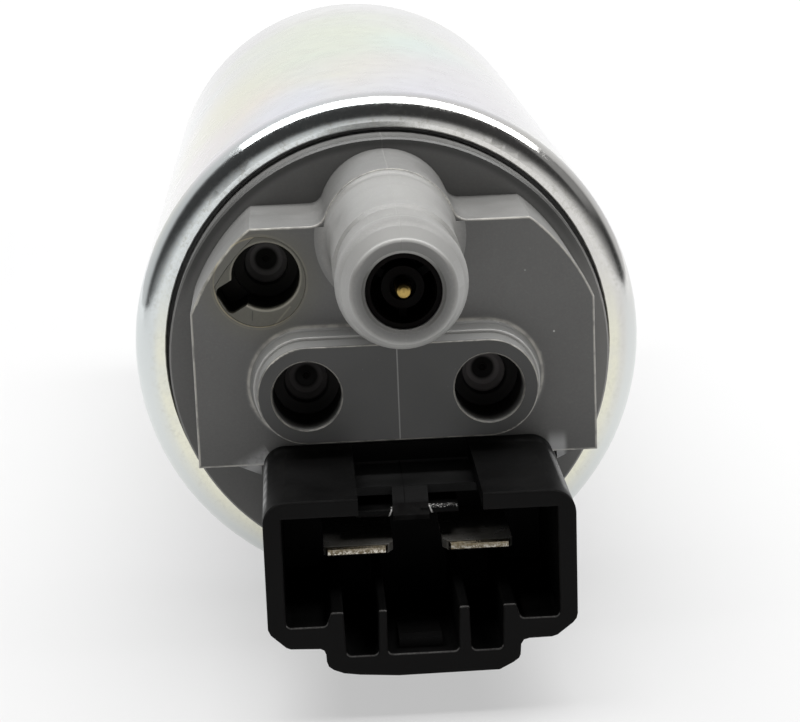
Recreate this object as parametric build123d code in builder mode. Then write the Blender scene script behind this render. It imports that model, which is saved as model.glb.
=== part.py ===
from build123d import *
import math
import os

# In-tank electric fuel pump, lying on its side.
# Frame: the pump axis is +Y, the outlet end faces -Y, X is to the right when
# the outlet end is looked at, and +Z is up (connector below, outlet above).
# Origin: on the pump axis, in the plane of the outlet-end crimp's front rim.
# "d" below is a distance from that plane towards the outlet, so y = -d.

os.makedirs("parts", exist_ok=True)

# ------------------------------------------------------------ driving sizes
CASE_R = 19.5          # outside radius of the steel case
CASE_WALL = 1.3
CASE_IN_R = CASE_R - CASE_WALL
CASE_L = 82.0          # rim to rim
LIP_R = 17.03          # inside radius of both rolled lips
LIP_ROUND = 2.0        # rounded shoulder of the crimp

CAP_R = 18.1           # captive flange of the outlet end cap
BOSS_R = 16.7          # round face that stands through the lip
D_BOSS = 2.95          # front of the round face
D_BLOCK = 12.7         # front of the raised block
D_TIER = 14.6          # front of the pad's lower tier
D_PAD = 16.54          # front of the pad
BLOCK_HALF = 14.45
BLOCK_BOT = -5.36
BLOCK_TOP = 12.0
BLOCK_TOP_HALF = 10.3
BLOCK_ARC_R = 15.65

PAD_X = 6.42           # pad holes and brush barrels
PAD_Z = 0.61
PAD_HOLE_R = 2.45

NOZ_Z = 11.0           # outlet nipple axis
NOZ_TIP = 32.3
NOZ_BORE_R = 2.45
NOZ_LOBE_R = 4.9

PLUG_X, PLUG_Z = -9.36, 8.16   # keyed relief valve plug
PLUG_R = 3.22
PLUG_HOLE_X, PLUG_HOLE_Z = -8.95, 8.55
PLUG_HOLE_R = 2.42

CON_X = 0.73           # connector centre, a little right of the pump axis
CON_FRONT = 27.0
CON_TOP = -3.95
CON_ROOF = -5.15       # underside of the roof
CON_BACK = 14.0        # front of the connector's back wall
BLADE_Z = -9.05
BLADE_T = 0.6
BLADE_TIP = 22.4

SHAFT_R = 2.0
BUSH_R = 4.0
BUSH_BORE = 2.03
COMM_Y = 13.6          # commutator face
COMM_R = 10.5
LAM_R = 11.6
LAM_Y0, LAM_Y1 = 23.5, 44.0
MAG_R0, MAG_R1 = 12.1, 15.6
FLUX_R0, FLUX_R1 = 15.75, 18.1

OUT_PLATE_Y0, OUT_PLATE_Y1 = 50.0, 57.0
RING_Y1 = 65.0
IN_PLATE_Y1 = 68.0
COVER_FLANGE_Y = 80.7
COVER_FACE_Y = 83.0
SPIGOT_Z = -8.5
SPIGOT_R = 5.5
SPIGOT_END = 94.0
SPIGOT_BORE = 4.0
POST_X, POST_Z = 7.5, 6.5

# gerotor: 6-lobe inner gear in a 7-tooth outer gear, conjugate trochoid form
GER_N = 7
GER_R = 9.0            # radius of the outer gear's tooth centres
GER_E = 0.95           # eccentricity, along +X
GER_TOOTH = 2.6        # tooth circle radius
GER_CLR = 0.05
GER_OUT_R = 12.0


def at(d):
    """Cross plane d in front of the rim: local x is +X, local y is +Z."""
    return Plane.XZ.offset(d)


def turn_plane(x, z):
    """Half plane for turned profiles about a line parallel to Y at x, z:
    local x is the radius, local y is Y."""
    return Plane(origin=(x, 0, z), x_dir=(1, 0, 0), z_dir=(0, 0, 1))


def y_axis(x, z):
    return Axis((x, 0, z), (0, 1, 0))


def save(part, name):
    part.label = name
    export_step(part, "parts/" + name + ".step")


# ------------------------------------------------------------ steel case
with BuildPart() as case_tube:
    with BuildSketch(turn_plane(0, 0)):
        rs, ri, rt, e = LIP_ROUND, 0.9, CASE_L, 0.12
        q = 1 - math.sqrt(0.5)
        with BuildLine():
            Line((LIP_R + e, 0), (CASE_R - rs, 0))
            ThreePointArc((CASE_R - rs, 0), (CASE_R - rs * q, rs * q), (CASE_R, rs))
            Line((CASE_R, rs), (CASE_R, rt - rs))
            ThreePointArc((CASE_R, rt - rs), (CASE_R - rs * q, rt - rs * q), (CASE_R - rs, rt))
            Line((CASE_R - rs, rt), (LIP_R + e, rt))
            ThreePointArc((LIP_R + e, rt), (LIP_R + e * q, rt - e * q), (LIP_R, rt - e))
            Line((LIP_R, rt - e), (LIP_R, rt - CASE_WALL))
            Line((LIP_R, rt - CASE_WALL), (CASE_IN_R - ri, rt - CASE_WALL))
            ThreePointArc((CASE_IN_R - ri, rt - CASE_WALL), (CASE_IN_R - ri * q, rt - CASE_WALL - ri * q), (CASE_IN_R, rt - CASE_WALL - ri))
            Line((CASE_IN_R, rt - CASE_WALL - ri), (CASE_IN_R, CASE_WALL + ri))
            ThreePointArc((CASE_IN_R, CASE_WALL + ri), (CASE_IN_R - ri * q, CASE_WALL + ri * q), (CASE_IN_R - ri, CASE_WALL))
            Line((CASE_IN_R - ri, CASE_WALL), (LIP_R, CASE_WALL))
            Line((LIP_R, CASE_WALL), (LIP_R, e))
            ThreePointArc((LIP_R, e), (LIP_R + e * q, e * q), (LIP_R + e, 0))
        make_face()
    revolve(axis=Axis.Y)
save(case_tube.part, "case_tube")


# ------------------------------------------------------------ outlet end cap
# block outline: flats at the sides, arcs above them, a flat top
z_side = math.sqrt(BLOCK_ARC_R ** 2 - BLOCK_HALF ** 2)
z_top = math.sqrt(BLOCK_ARC_R ** 2 - BLOCK_TOP_HALF ** 2)
mid = 0.5 * (math.atan2(z_side, BLOCK_HALF) + math.atan2(z_top, BLOCK_TOP_HALF))
mx, mz = BLOCK_ARC_R * math.cos(mid), BLOCK_ARC_R * math.sin(mid)


def nozzle_fillet_points(r_big, r_fil):
    """Tangent points of the fillet between the block's flat top and the lobe."""
    zc = BLOCK_TOP + 0.02 + r_fil
    dz = zc - NOZ_Z
    dx = math.sqrt((r_big + r_fil) ** 2 - dz ** 2)
    k = r_big / (r_big + r_fil)
    return dx, zc, dx * k, NOZ_Z + dz * k


with BuildPart() as outlet_end_cap:
    # captive flange behind the lip, with a groove for the seal
    with BuildSketch(turn_plane(0, 0)) as s:
        with BuildLine():
            Polyline((0, 5.3), (CAP_R, 5.3), (CAP_R, 4.35), (16.66, 4.35), (16.66, 2.9), (CAP_R, 2.9),
                     (CAP_R, 2.3), (CAP_R - 0.94, 1.36), (BOSS_R, 1.36), (BOSS_R, -D_BOSS + 0.18), (BOSS_R - 0.15, -D_BOSS), (0, -D_BOSS), close=True)
        make_face()
    revolve(axis=Axis.Y)
    # raised block
    with BuildSketch(at(D_BOSS - 0.3)) as s:
        with BuildLine():
            Line((-BLOCK_HALF, BLOCK_BOT), (BLOCK_HALF, BLOCK_BOT))
            Line((BLOCK_HALF, BLOCK_BOT), (BLOCK_HALF, z_side))
            ThreePointArc((BLOCK_HALF, z_side), (mx, mz), (BLOCK_TOP_HALF, z_top))
            Line((BLOCK_TOP_HALF, z_top), (BLOCK_TOP_HALF - 0.35, BLOCK_TOP + 0.02))
            Line((BLOCK_TOP_HALF - 0.35, BLOCK_TOP + 0.02), (-BLOCK_TOP_HALF + 0.35, BLOCK_TOP + 0.02))
            Line((-BLOCK_TOP_HALF + 0.35, BLOCK_TOP + 0.02), (-BLOCK_TOP_HALF, z_top))
            ThreePointArc((-BLOCK_TOP_HALF, z_top), (-mx, mz), (-BLOCK_HALF, z_side))
            Line((-BLOCK_HALF, z_side), (-BLOCK_HALF, BLOCK_BOT))
        make_face()
    extrude(amount=D_BLOCK - D_BOSS + 0.3)
    # lobe that carries the nozzle, blended into the block's top
    with BuildSketch(at(D_BOSS - 0.3)) as s:
        fx, fz, tx, tz = nozzle_fillet_points(NOZ_LOBE_R, 1.1)
        with BuildLine():
            a0 = math.atan2(tz - NOZ_Z, tx)
            ThreePointArc((tx, tz), (0, NOZ_Z + NOZ_LOBE_R), (-tx, tz))
            k = 0.7071 * 1.1
            ax = fx - 1.1 * math.sin(0.5 * (math.pi / 2 - a0))
            az = fz - 1.1 * math.cos(0.5 * (math.pi / 2 - a0))
            ThreePointArc((-tx, tz), (-ax, az), (-fx, BLOCK_TOP + 0.02))
            Polyline((-fx, BLOCK_TOP + 0.02), (-fx, BLOCK_TOP - 1.5), (fx, BLOCK_TOP - 1.5), (fx, BLOCK_TOP + 0.02))
            ThreePointArc((fx, BLOCK_TOP + 0.02), (ax, az), (tx, tz))
        make_face()
    extrude(amount=D_BLOCK - D_BOSS + 0.3)
    front = outlet_end_cap.faces().filter_by(Plane.XZ).sort_by(Axis.Y)[0]
    fillet(front.edges(), 0.22)
    # pad for the brush barrels: lower tier on a blended foot, then upper tier
    with BuildSketch(at(D_BLOCK)):
        with Locations((0, PAD_Z)):
            SlotCenterToCenter(2 * PAD_X, 2 * 3.9)
    extrude(amount=D_TIER - D_BLOCK, taper=3)


    def off_pad(e):
        """Distance of an edge's middle from the pad's long centre line."""
        p = e @ 0.5
        return math.hypot(max(abs(p.X) - PAD_X, 0), p.Z - PAD_Z)


    foot = [e for e in outlet_end_cap.edges() if abs(e.center().Y + D_BLOCK) < 0.01 and abs((e @ 0.5).Y + D_BLOCK) < 0.01 and abs(off_pad(e) - 3.9) < 0.05]
    fillet(foot, 0.55)
    fillet(outlet_end_cap.faces().filter_by(Plane.XZ).sort_by(Axis.Y)[0].edges(), 0.16)
    with BuildSketch(at(D_TIER - 0.1)):
        with Locations((0, PAD_Z)):
            SlotCenterToCenter(2 * PAD_X, 2 * 3.55)
    extrude(amount=D_PAD - D_TIER + 0.1, taper=1.5)
    fillet(outlet_end_cap.faces().filter_by(Plane.XZ).sort_by(Axis.Y)[0].edges(), 0.14)
    # small hooks that hold the connector's sides under the block
    with BuildSketch(at(D_BOSS - 0.2)):
        with BuildLine():
            Polyline((-11.7, BLOCK_BOT + 0.2), (-11.6, BLOCK_BOT - 0.02), (-9.95, -6.1), (-9.95, BLOCK_BOT + 0.2), close=True)
        make_face()
        with BuildLine():
            Polyline((12.9, BLOCK_BOT + 0.2), (12.7, BLOCK_BOT - 0.05), (11.5, -5.95), (11.5, BLOCK_BOT + 0.2), close=True)
        make_face()
    extrude(amount=D_BLOCK - D_BOSS - 0.05)
    # inside: bearing hub and the two brush barrels
    with BuildSketch(at(-5.2)):
        Circle(5.8)
    extrude(amount=-7.1)
    with BuildSketch(at(-5.2)):
        with Locations((PAD_X + 0.05, PAD_Z), (-PAD_X - 0.05, PAD_Z)):
            RectangleRounded(7.4, 8.8, 1.2)
    extrude(amount=-6.3)
    # outlet port below the nipple
    with BuildSketch(at(-5.4)):
        with Locations((0, NOZ_Z)):
            Circle(1.5)
    extrude(amount=D_BLOCK + 5.5, mode=Mode.SUBTRACT)
    # the pad's two blind holes, stepped, with a domed floor and centre mark
    for x in (-PAD_X, PAD_X):
        with BuildSketch(turn_plane(x, PAD_Z)):
            with BuildLine():
                Polyline((0, -D_PAD - 0.1), (PAD_HOLE_R + 0.12, -D_PAD - 0.1), (PAD_HOLE_R + 0.1, -D_PAD),
                         (PAD_HOLE_R, -D_PAD + 0.15), (PAD_HOLE_R - 0.08, -12.2), (1.62, -12.0), (1.5, -11.1), (1.2, -10.55),
                         (0.7, -10.3), (0.28, -10.22), (0.2, -10.05), (0, -9.95), close=True)
            make_face()
        revolve(axis=y_axis(x, PAD_Z), mode=Mode.SUBTRACT)
    # brush barrels, open towards the commutator
    with BuildSketch(at(-12.5)):
        with Locations((PAD_X, PAD_Z), (-PAD_X, PAD_Z)):
            Rectangle(4.7, 6.1)
    extrude(amount=19.7, mode=Mode.SUBTRACT)
    # slots for the brush leads in the barrels' outer walls
    with BuildSketch(at(-11.6)):
        with Locations((9.6, PAD_Z), (-9.6, PAD_Z)):
            Rectangle(3.0, 1.4)
    extrude(amount=6.2, mode=Mode.SUBTRACT)
    # bush seat
    with BuildSketch(at(-12.4)):
        Circle(BUSH_R)
    extrude(amount=6.0, mode=Mode.SUBTRACT)
    with BuildSketch(at(-6.5)):
        Circle(2.6)
    extrude(amount=1.2, mode=Mode.SUBTRACT)
    # pocket for the relief valve plug and the valve chamber below it
    with BuildSketch(at(3.0)):
        with Locations((PLUG_X, PLUG_Z)):
            Circle(PLUG_R + 0.03)
        Circle(14.93, mode=Mode.INTERSECT)
    extrude(amount=10.0, mode=Mode.SUBTRACT)
    with BuildSketch(turn_plane(-8.6, 8.2)):
        with BuildLine():
            Polyline((0, -3.1), (1.8, -3.1), (1.8, 2.1), (0.95, 3.0), (0.95, 5.4), (0, 5.4), close=True)
        make_face()
    revolve(axis=y_axis(-8.6, 8.2), mode=Mode.SUBTRACT)
    # slots for the terminals
    with BuildSketch(at(-5.4)):
        with Locations((CON_X - 3.62, BLADE_Z), (CON_X + 3.62, BLADE_Z)):
            Rectangle(3.26, BLADE_T + 0.04)
    extrude(amount=8.6, mode=Mode.SUBTRACT)
save(outlet_end_cap.part, "outlet_end_cap")

# ------------------------------------------------------------ outlet nipple
with BuildPart() as outlet_nipple:
    # foot blended into the block, hose seat, groove, bead and lead-in cone
    with BuildSketch(turn_plane(0, NOZ_Z)):
        with BuildLine():
            Line((1.5, -D_BLOCK), (5.4, -D_BLOCK))
            ThreePointArc((5.4, -D_BLOCK), (4.78, -D_BLOCK - 0.26), (4.5, -D_BLOCK - 0.9))
            Line((4.5, -D_BLOCK - 0.9), (4.35, -16.6))
            Line((4.35, -16.6), (4.35, -24.3))
            Line((4.35, -24.3), (4.12, -24.6))
            Spline((4.12, -24.6), (4.0, -25.6), (3.95, -26.7), (4.08, -27.7), (4.26, -28.4), (4.33, -29.0),
                   tangents=((-0.2, -1), (0.0, -1)))
            ThreePointArc((4.33, -29.0), (4.23, -29.75), (3.96, -30.4))
            Line((3.96, -30.4), (3.5, -31.9))
            ThreePointArc((3.5, -31.9), (3.4, -32.18), (3.15, -NOZ_TIP))
            Line((3.15, -NOZ_TIP), (NOZ_BORE_R + 0.25, -NOZ_TIP))
            Line((NOZ_BORE_R + 0.25, -NOZ_TIP), (NOZ_BORE_R, -NOZ_TIP + 0.4))
            Line((NOZ_BORE_R, -NOZ_TIP + 0.4), (NOZ_BORE_R, -15.0))
            Line((NOZ_BORE_R, -15.0), (1.5, -15.0))
            Line((1.5, -15.0), (1.5, -D_BLOCK))
        make_face()
    revolve(axis=y_axis(0, NOZ_Z))
    # above the block the foot is no wider than the lobe behind it
    with BuildSketch(at(D_BLOCK - 0.1)):
        with Locations((0, NOZ_Z + 4.2)):
            Rectangle(14, 6.6)
        with Locations((0, NOZ_Z)):
            Circle(NOZ_LOBE_R - 0.12, mode=Mode.SUBTRACT)
    extrude(amount=1.4, mode=Mode.SUBTRACT)
save(outlet_nipple.part, "outlet_nipple")

# ------------------------------------------------------------ relief valve
with BuildPart() as relief_valve_plug:
    with BuildSketch(at(3.02)):
        with Locations((PLUG_X, PLUG_Z)):
            Circle(PLUG_R)
        Circle(14.9, mode=Mode.INTERSECT)
    extrude(amount=D_BLOCK - 0.03 - 3.02)
    with BuildSketch(turn_plane(PLUG_HOLE_X, PLUG_HOLE_Z)):
        with BuildLine():
            Polyline((0, -D_BLOCK - 0.1), (PLUG_HOLE_R + 0.1, -D_BLOCK - 0.1), (PLUG_HOLE_R, -D_BLOCK + 0.12),
                     (PLUG_HOLE_R - 0.06, -8.2), (1.6, -8.0), (1.5, -6.9), (1.2, -6.2),
                     (0.7, -5.9), (0.28, -5.8), (0.2, -5.65), (0, -5.55), close=True)
        make_face()
    revolve(axis=y_axis(PLUG_HOLE_X, PLUG_HOLE_Z), mode=Mode.SUBTRACT)
    # keyway for the tool, beside the hole and not as deep
    with BuildSketch(Plane(origin=(PLUG_HOLE_X, -8.6, PLUG_HOLE_Z), x_dir=(math.cos(math.radians(209.5)), 0, math.sin(math.radians(209.5))), z_dir=(0, -1, 0))):
        with Locations((2.62, 0)):
            RectangleRounded(2.1, 2.15, 0.45)
        Circle(1.9, mode=Mode.SUBTRACT)
    extrude(amount=5.0, mode=Mode.SUBTRACT)
save(relief_valve_plug.part, "relief_valve_plug")

with BuildPart() as relief_valve_ball:
    with Locations((-8.6, 1.95, 8.2)):
        Sphere(1.4)
save(relief_valve_ball.part, "relief_valve_ball")


def coil(name, x, z, y0, y1, r, wire, turns):
    """Round-wire compression spring along Y between y0 and y1 (wire included)."""
    pitch = (y1 - y0 - wire) / turns
    with BuildPart() as sp:
        with BuildLine() as ln:
            Helix(pitch=pitch, height=pitch * turns, radius=r, center=(x, y0 + wire / 2, z), direction=(0, 1, 0))
        with BuildSketch(Plane(origin=ln.line @ 0, z_dir=ln.line % 0)):
            Circle(wire / 2)
        sweep(is_frenet=True)
    save(sp.part, name)
    return sp


relief_valve_spring = coil("relief_valve_spring", -8.6, 8.2, -2.95, 0.95, 1.1, 0.3, 5)

# ------------------------------------------------------------ check valve
with BuildPart() as check_valve_seal:
    with BuildSketch(turn_plane(0, NOZ_Z)):
        with BuildLine():
            Polyline((0.5, -15.03), (1.9, -15.03), (2.1, -15.3), (2.1, -16.0), (0.5, -16.0), close=True)
        make_face()
    revolve(axis=y_axis(0, NOZ_Z))
save(check_valve_seal.part, "check_valve_seal")

with BuildPart() as check_valve_poppet:
    with BuildSketch(turn_plane(0, NOZ_Z)):
        with BuildLine():
            Polyline((0, -14.3), (0.4, -14.3), (0.5, -14.5), (0.5, -16.0), (1.9, -16.0), (1.9, -16.6), (1.0, -16.9), (0.5, -17.0),
                     (0.5, -31.7), (0.42, -31.86), (0.25, -31.95), (0, -31.98), close=True)
        make_face()
    revolve(axis=y_axis(0, NOZ_Z))
save(check_valve_poppet.part, "check_valve_poppet")

with BuildPart() as check_valve_cage:
    # thin sleeve in the bore, with a spider that guides the stem
    with BuildSketch(at(27.8)):
        with Locations((0, NOZ_Z)):
            Circle(2.44)
            Circle(2.12, mode=Mode.SUBTRACT)
    extrude(amount=3.9)
    with BuildSketch(at(27.8)):
        with Locations((0, NOZ_Z)):
            Circle(1.38)
            with PolarLocations(1.7, 3, start_angle=30):
                Rectangle(1.1, 0.5)
        with Locations((0, NOZ_Z)):
            Circle(0.56, mode=Mode.SUBTRACT)
    extrude(amount=1.6)
    with BuildSketch(at(29.3)):
        with Locations((0, NOZ_Z)):
            Circle(1.38)
            Circle(0.85, mode=Mode.SUBTRACT)
    extrude(amount=1.2)
save(check_valve_cage.part, "check_valve_cage")

check_valve_spring = coil("check_valve_spring", 0, NOZ_Z, -27.75, -17.1, 1.25, 0.3, 8)

# ------------------------------------------------------------ connector
with BuildPart() as connector_shroud:
    # front part, with the roof
    with BuildSketch(at(D_BLOCK + 0.02)) as s:
        with BuildLine():
            Line((-9.8, -12.85), (-9.8, -5.5))
            ThreePointArc((-9.8, -5.5), (-9.33, -4.4), (-8.2, CON_TOP))
            Line((-8.2, CON_TOP), (9.5, CON_TOP))
            ThreePointArc((9.5, CON_TOP), (10.7, -4.45), (11.2, -5.65))
            Line((11.2, -5.65), (11.15, -12.75))
            Polyline((11.15, -12.75), (11.06, -13.12), (10.8, -13.42), (9.75, -14.22), (9.35, -14.34), (7.85, -14.36), (7.45, -14.46), (7.26, -14.75), (7.2, -15.5), (7.08, -15.75), (6.7, -16.02), (5.75, -16.5),
                     (-1.1, -16.55), (-3.7, -16.36), (-4.8, -16.2), (-5.5, -15.92), (-5.82, -15.66), (-5.94, -15.3), (-5.96, -14.8), (-6.08, -14.5), (-6.32, -14.38), (-8.3, -14.3), (-8.62, -14.18), (-9.62, -13.25), (-9.8, -12.85))
        make_face()
    extrude(amount=CON_FRONT - D_BLOCK - 0.02)
    fillet(connector_shroud.faces().filter_by(Plane.XZ).sort_by(Axis.Y)[0].edges(), 0.2)
    # rear part, under the block, on the cap's round face
    with BuildSketch(at(D_BOSS + 0.01)) as s:
        with BuildLine():
            Polyline((-9.8, -12.85), (-9.8, BLOCK_BOT - 0.72), (-9.6, BLOCK_BOT - 0.72), (-9.6, BLOCK_BOT - 0.01), (11.1, BLOCK_BOT - 0.01),
                     (11.1, BLOCK_BOT - 0.62), (11.2, BLOCK_BOT - 0.62), (11.15, -12.75), (11.06, -13.12), (10.8, -13.42), (9.75, -14.22), (9.35, -14.34), (7.85, -14.36), (7.45, -14.46), (7.26, -14.75), (7.2, -15.5), (7.08, -15.75), (6.7, -16.02), (5.75, -16.5),
                     (-1.1, -16.55), (-3.7, -16.36), (-4.8, -16.2), (-5.5, -15.92), (-5.82, -15.66), (-5.94, -15.3), (-5.96, -14.8), (-6.08, -14.5), (-6.32, -14.38), (-8.3, -14.3), (-8.62, -14.18), (-9.62, -13.25), close=True)
        make_face()
    extrude(amount=D_BLOCK - D_BOSS + 0.1)
    # cavity with the keying ribs left standing on its floor
    with BuildSketch(at(CON_BACK)) as s:
        with BuildLine():
            Polyline((-8.55, CON_ROOF), (9.92, CON_ROOF), (9.92, -12.85), (7.3, -12.85), (6.95, -11.8), (6.1, -11.8), (6.02, -14.95),
                     (3.9, -14.95), (3.82, -11.8), (3.14, -11.8), (3.03, -14.95), (-1.78, -14.95), (-1.74, -11.8), (-2.32, -11.8), (-2.42, -14.95),
                     (-4.55, -14.95), (-4.68, -11.8), (-5.5, -11.8), (-5.85, -12.75), (-8.55, -12.75), close=True)
        make_face()
        fillet([v for v in s.vertices() if v.Y < -12.5], 0.36)
        fillet([v for v in s.vertices() if abs(v.Y + 11.8) < 0.01], 0.15)
    extrude(amount=CON_FRONT - CON_BACK + 0.1, mode=Mode.SUBTRACT)
    front = connector_shroud.faces().filter_by(Plane.XZ).sort_by(Axis.Y)[0]
    fillet(front.inner_wires()[0].edges(), 0.17)
    # slot through the roof
    with BuildSketch(at(13.35)):
        with Locations((0.79, -4.5)):
            Rectangle(8.35, 1.9)
    extrude(amount=14.0, mode=Mode.SUBTRACT)
    # ledge over the blades' roots and the wedge between the blades
    with BuildSketch(at(CON_BACK - 0.7)):
        with Locations((CON_X + 0.05, -5.72)):
            Rectangle(14.6, 0.6)
    extrude(amount=19.3 - CON_BACK + 0.7)
    with BuildSketch(at(CON_BACK - 0.7)):
        with Locations((-2.15, -6.95), (2.4, -6.85)):
            Rectangle(2.6, 0.5)
    extrude(amount=20.7 - CON_BACK + 0.7)
    lips = [e for e in connector_shroud.edges().filter_by(Axis.X) if abs(e.center().Y + 20.7) < 0.01]
    fillet(lips, 0.14)
    with BuildSketch(Plane(origin=(-0.85, 0, 0), x_dir=(0, 1, 0), z_dir=(1, 0, 0))):
        with BuildLine():
            Polyline((-CON_BACK + 0.3, -5.5), (-19.3, -5.45), (-20.2, -6.2), (-20.9, -7.1), (-20.7, -7.5), (-CON_BACK + 0.3, -8.1), close=True)
        make_face()
    extrude(amount=2.5)
    # latch bump on the floor of the middle channel
    with BuildSketch(Plane(origin=(-0.95, 0, 0), x_dir=(0, 1, 0), z_dir=(1, 0, 0))):
        with BuildLine():
            Polyline((-25.9, -15.0), (-25.9, -14.3), (-25.0, -14.2), (-20.5, -14.9), (-20.5, -15.0), close=True)
        make_face()
    extrude(amount=2.95)
    # slots for the blades
    with BuildSketch(at(D_BOSS)):
        with Locations((CON_X - 4.12, BLADE_Z), (CON_X + 4.12, BLADE_Z)):
            Rectangle(4.86, BLADE_T + 0.04)
    extrude(amount=CON_BACK - D_BOSS + 0.05, mode=Mode.SUBTRACT)
save(connector_shroud.part, "connector_shroud")


def blade(name, side):
    """Flat tab with a chamfered, coined tip; side is -1 left, +1 right."""
    xc = CON_X + side * 4.12
    xi, xo = CON_X + side * 1.71, CON_X + side * 6.53     # inner and outer edges
    xr = CON_X + side * 3.62                               # narrower root
    with BuildPart() as b:
        with BuildSketch(Plane.XY.offset(BLADE_Z - BLADE_T / 2)):
            with BuildLine():
                Polyline((xi, -3.0), (xi, -BLADE_TIP + 1.0), (xi + side * 0.55, -BLADE_TIP), (xo - side * 0.3, -BLADE_TIP),
                         (xo, -BLADE_TIP + 0.6), (xo, -3.0), (xr + side * 1.6, -3.0), (xr + side * 1.6, 7.6), (xr + side * 0.9, 8.4),
                         (xr - side * 0.9, 8.4), (xr - side * 1.6, 7.6), (xr - side * 1.6, -3.0), close=True)
            make_face()
        extrude(amount=BLADE_T)
        tip = [e for e in b.edges().filter_by(Axis.X) if abs(e.center().Y + BLADE_TIP) < 0.01]
        chamfer(tip, 0.12)
    save(b.part, name)
    return b


terminal_left = blade("terminal_left", -1)
terminal_right = blade("terminal_right", 1)


# ------------------------------------------------------------ suppression chokes
def choke(side, where):
    x, z = side * 10.6, -9.3
    with BuildPart() as core:
        with BuildSketch(turn_plane(x, z)):
            with BuildLine():
                Polyline((0, 6.2), (1.1, 6.2), (1.3, 6.4), (1.3, 16.6), (1.1, 16.8), (0, 16.8), close=True)
            make_face()
        revolve(axis=y_axis(x, z))
    save(core.part, "choke_core_" + where)
    with BuildPart() as winding:
        n, r0, w = 12, 1.34, 0.62
        pts = [(r0, 7.6)]
        for i in range(n):
            y = 7.6 + i * w
            pts += [(r0 + 0.12, y + 0.02), (r0 + 0.5, y + 0.14), (r0 + 0.62, y + 0.31), (r0 + 0.5, y + 0.48), (r0 + 0.12, y + 0.6)]
        pts += [(r0, 7.6 + n * w)]
        with BuildSketch(turn_plane(x, z)):
            with BuildLine():
                Polyline(*pts, close=True)
            make_face()
        revolve(axis=y_axis(x, z))
    save(winding.part, "choke_winding_" + where)
    return core, winding


choke_left = choke(-1, "left")
choke_right = choke(1, "right")


# ------------------------------------------------------------ brushes
def brush(side, where):
    x = side * PAD_X
    with BuildPart() as b:
        with BuildSketch(at(-COMM_Y + 0.03)):
            with Locations((x, PAD_Z)):
                Rectangle(4.6, 6.0)
        extrude(amount=12.4)
        back = b.faces().filter_by(Plane.XZ).sort_by(Axis.Y)[0]
        chamfer(back.edges(), 0.4)
    save(b.part, "brush_" + where)
    sp = coil("brush_spring_" + where, x, PAD_Z, -7.15, 1.1, 1.75, 0.4, 6)
    with BuildPart() as lead:
        with BuildLine() as path:
            FilletPolyline((side * 8.76, 8.0, PAD_Z), (side * 12.2, 8.0, PAD_Z), (side * 13.4, 8.0, -3.4), (side * 12.0, 8.0, -6.4), radius=1.0)
        with BuildSketch(Plane(origin=path.line @ 0, z_dir=path.line % 0)):
            Circle(0.45)
        sweep()
    save(lead.part, "brush_lead_" + where)
    return b, sp, lead


brush_left = brush(-1, "left")
brush_right = brush(1, "right")

# ------------------------------------------------------------ bearings
with BuildPart() as top_bush:
    with BuildSketch(turn_plane(0, 0)):
        with BuildLine():
            Polyline((BUSH_BORE, 6.6), (BUSH_R - 0.3, 6.6), (BUSH_R - 0.01, 6.9), (BUSH_R - 0.01, 11.9), (BUSH_R - 0.3, 12.2), (BUSH_BORE, 12.2), close=True)
        make_face()
    revolve(axis=Axis.Y)
save(top_bush.part, "top_bush")

with BuildPart() as bottom_bush:
    with BuildSketch(turn_plane(0, 0)):
        with BuildLine():
            Polyline((BUSH_BORE, 50.6), (BUSH_R - 0.3, 50.6), (BUSH_R - 0.01, 50.9), (BUSH_R - 0.01, 55.7), (BUSH_R - 0.3, 56.0), (BUSH_BORE, 56.0), close=True)
        make_face()
    revolve(axis=Axis.Y)
save(bottom_bush.part, "bottom_bush")

# ------------------------------------------------------------ armature
with BuildPart() as armature_shaft:
    with BuildSketch(turn_plane(0, 0)):
        with BuildLine():
            Polyline((0, 6.0), (SHAFT_R - 0.3, 6.0), (SHAFT_R, 6.3), (SHAFT_R, 64.5), (SHAFT_R - 0.3, 64.8), (0, 64.8), close=True)
        make_face()
    revolve(axis=Axis.Y)
    # two driving flats for the inner gear
    with BuildSketch(at(-64.9)):
        with Locations((0, SHAFT_R + 0.5), (0, -SHAFT_R - 0.5)):
            Rectangle(6, 2 * 0.85)
    extrude(amount=7.95, mode=Mode.SUBTRACT)
save(armature_shaft.part, "armature_shaft")

with BuildPart() as commutator_hub:
    with BuildSketch(turn_plane(0, 0)):
        with BuildLine():
            Polyline((SHAFT_R, 14.4), (3.4, 14.4), (3.4, 15.8), (COMM_R, 15.8), (COMM_R, 18.0), (6.0, 19.3), (SHAFT_R, 19.3), close=True)
        make_face()
    revolve(axis=Axis.Y)
save(commutator_hub.part, "commutator_hub")

with BuildPart() as commutator_segments:
    with BuildSketch(at(-15.8)):
        Circle(COMM_R)
        Circle(3.4, mode=Mode.SUBTRACT)
        with PolarLocations(7.0, 8, start_angle=22.5):
            Rectangle(9.0, 0.5, mode=Mode.SUBTRACT)
    extrude(amount=15.8 - COMM_Y)
save(commutator_segments.part, "commutator_segments")

with BuildPart() as lamination_stack:
    with BuildSketch(at(-LAM_Y1)):
        Circle(LAM_R)
        Circle(SHAFT_R, mode=Mode.SUBTRACT)
        with PolarLocations(0, 8, start_angle=22.5):
            with Locations((8.0, 0)):
                RectangleRounded(4.6, 4.2, 1.3, mode=Mode.SUBTRACT)
            with Locations((11.0, 0)):
                Rectangle(2.4, 1.2, mode=Mode.SUBTRACT)
    extrude(amount=LAM_Y1 - LAM_Y0)
save(lamination_stack.part, "lamination_stack")

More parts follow.
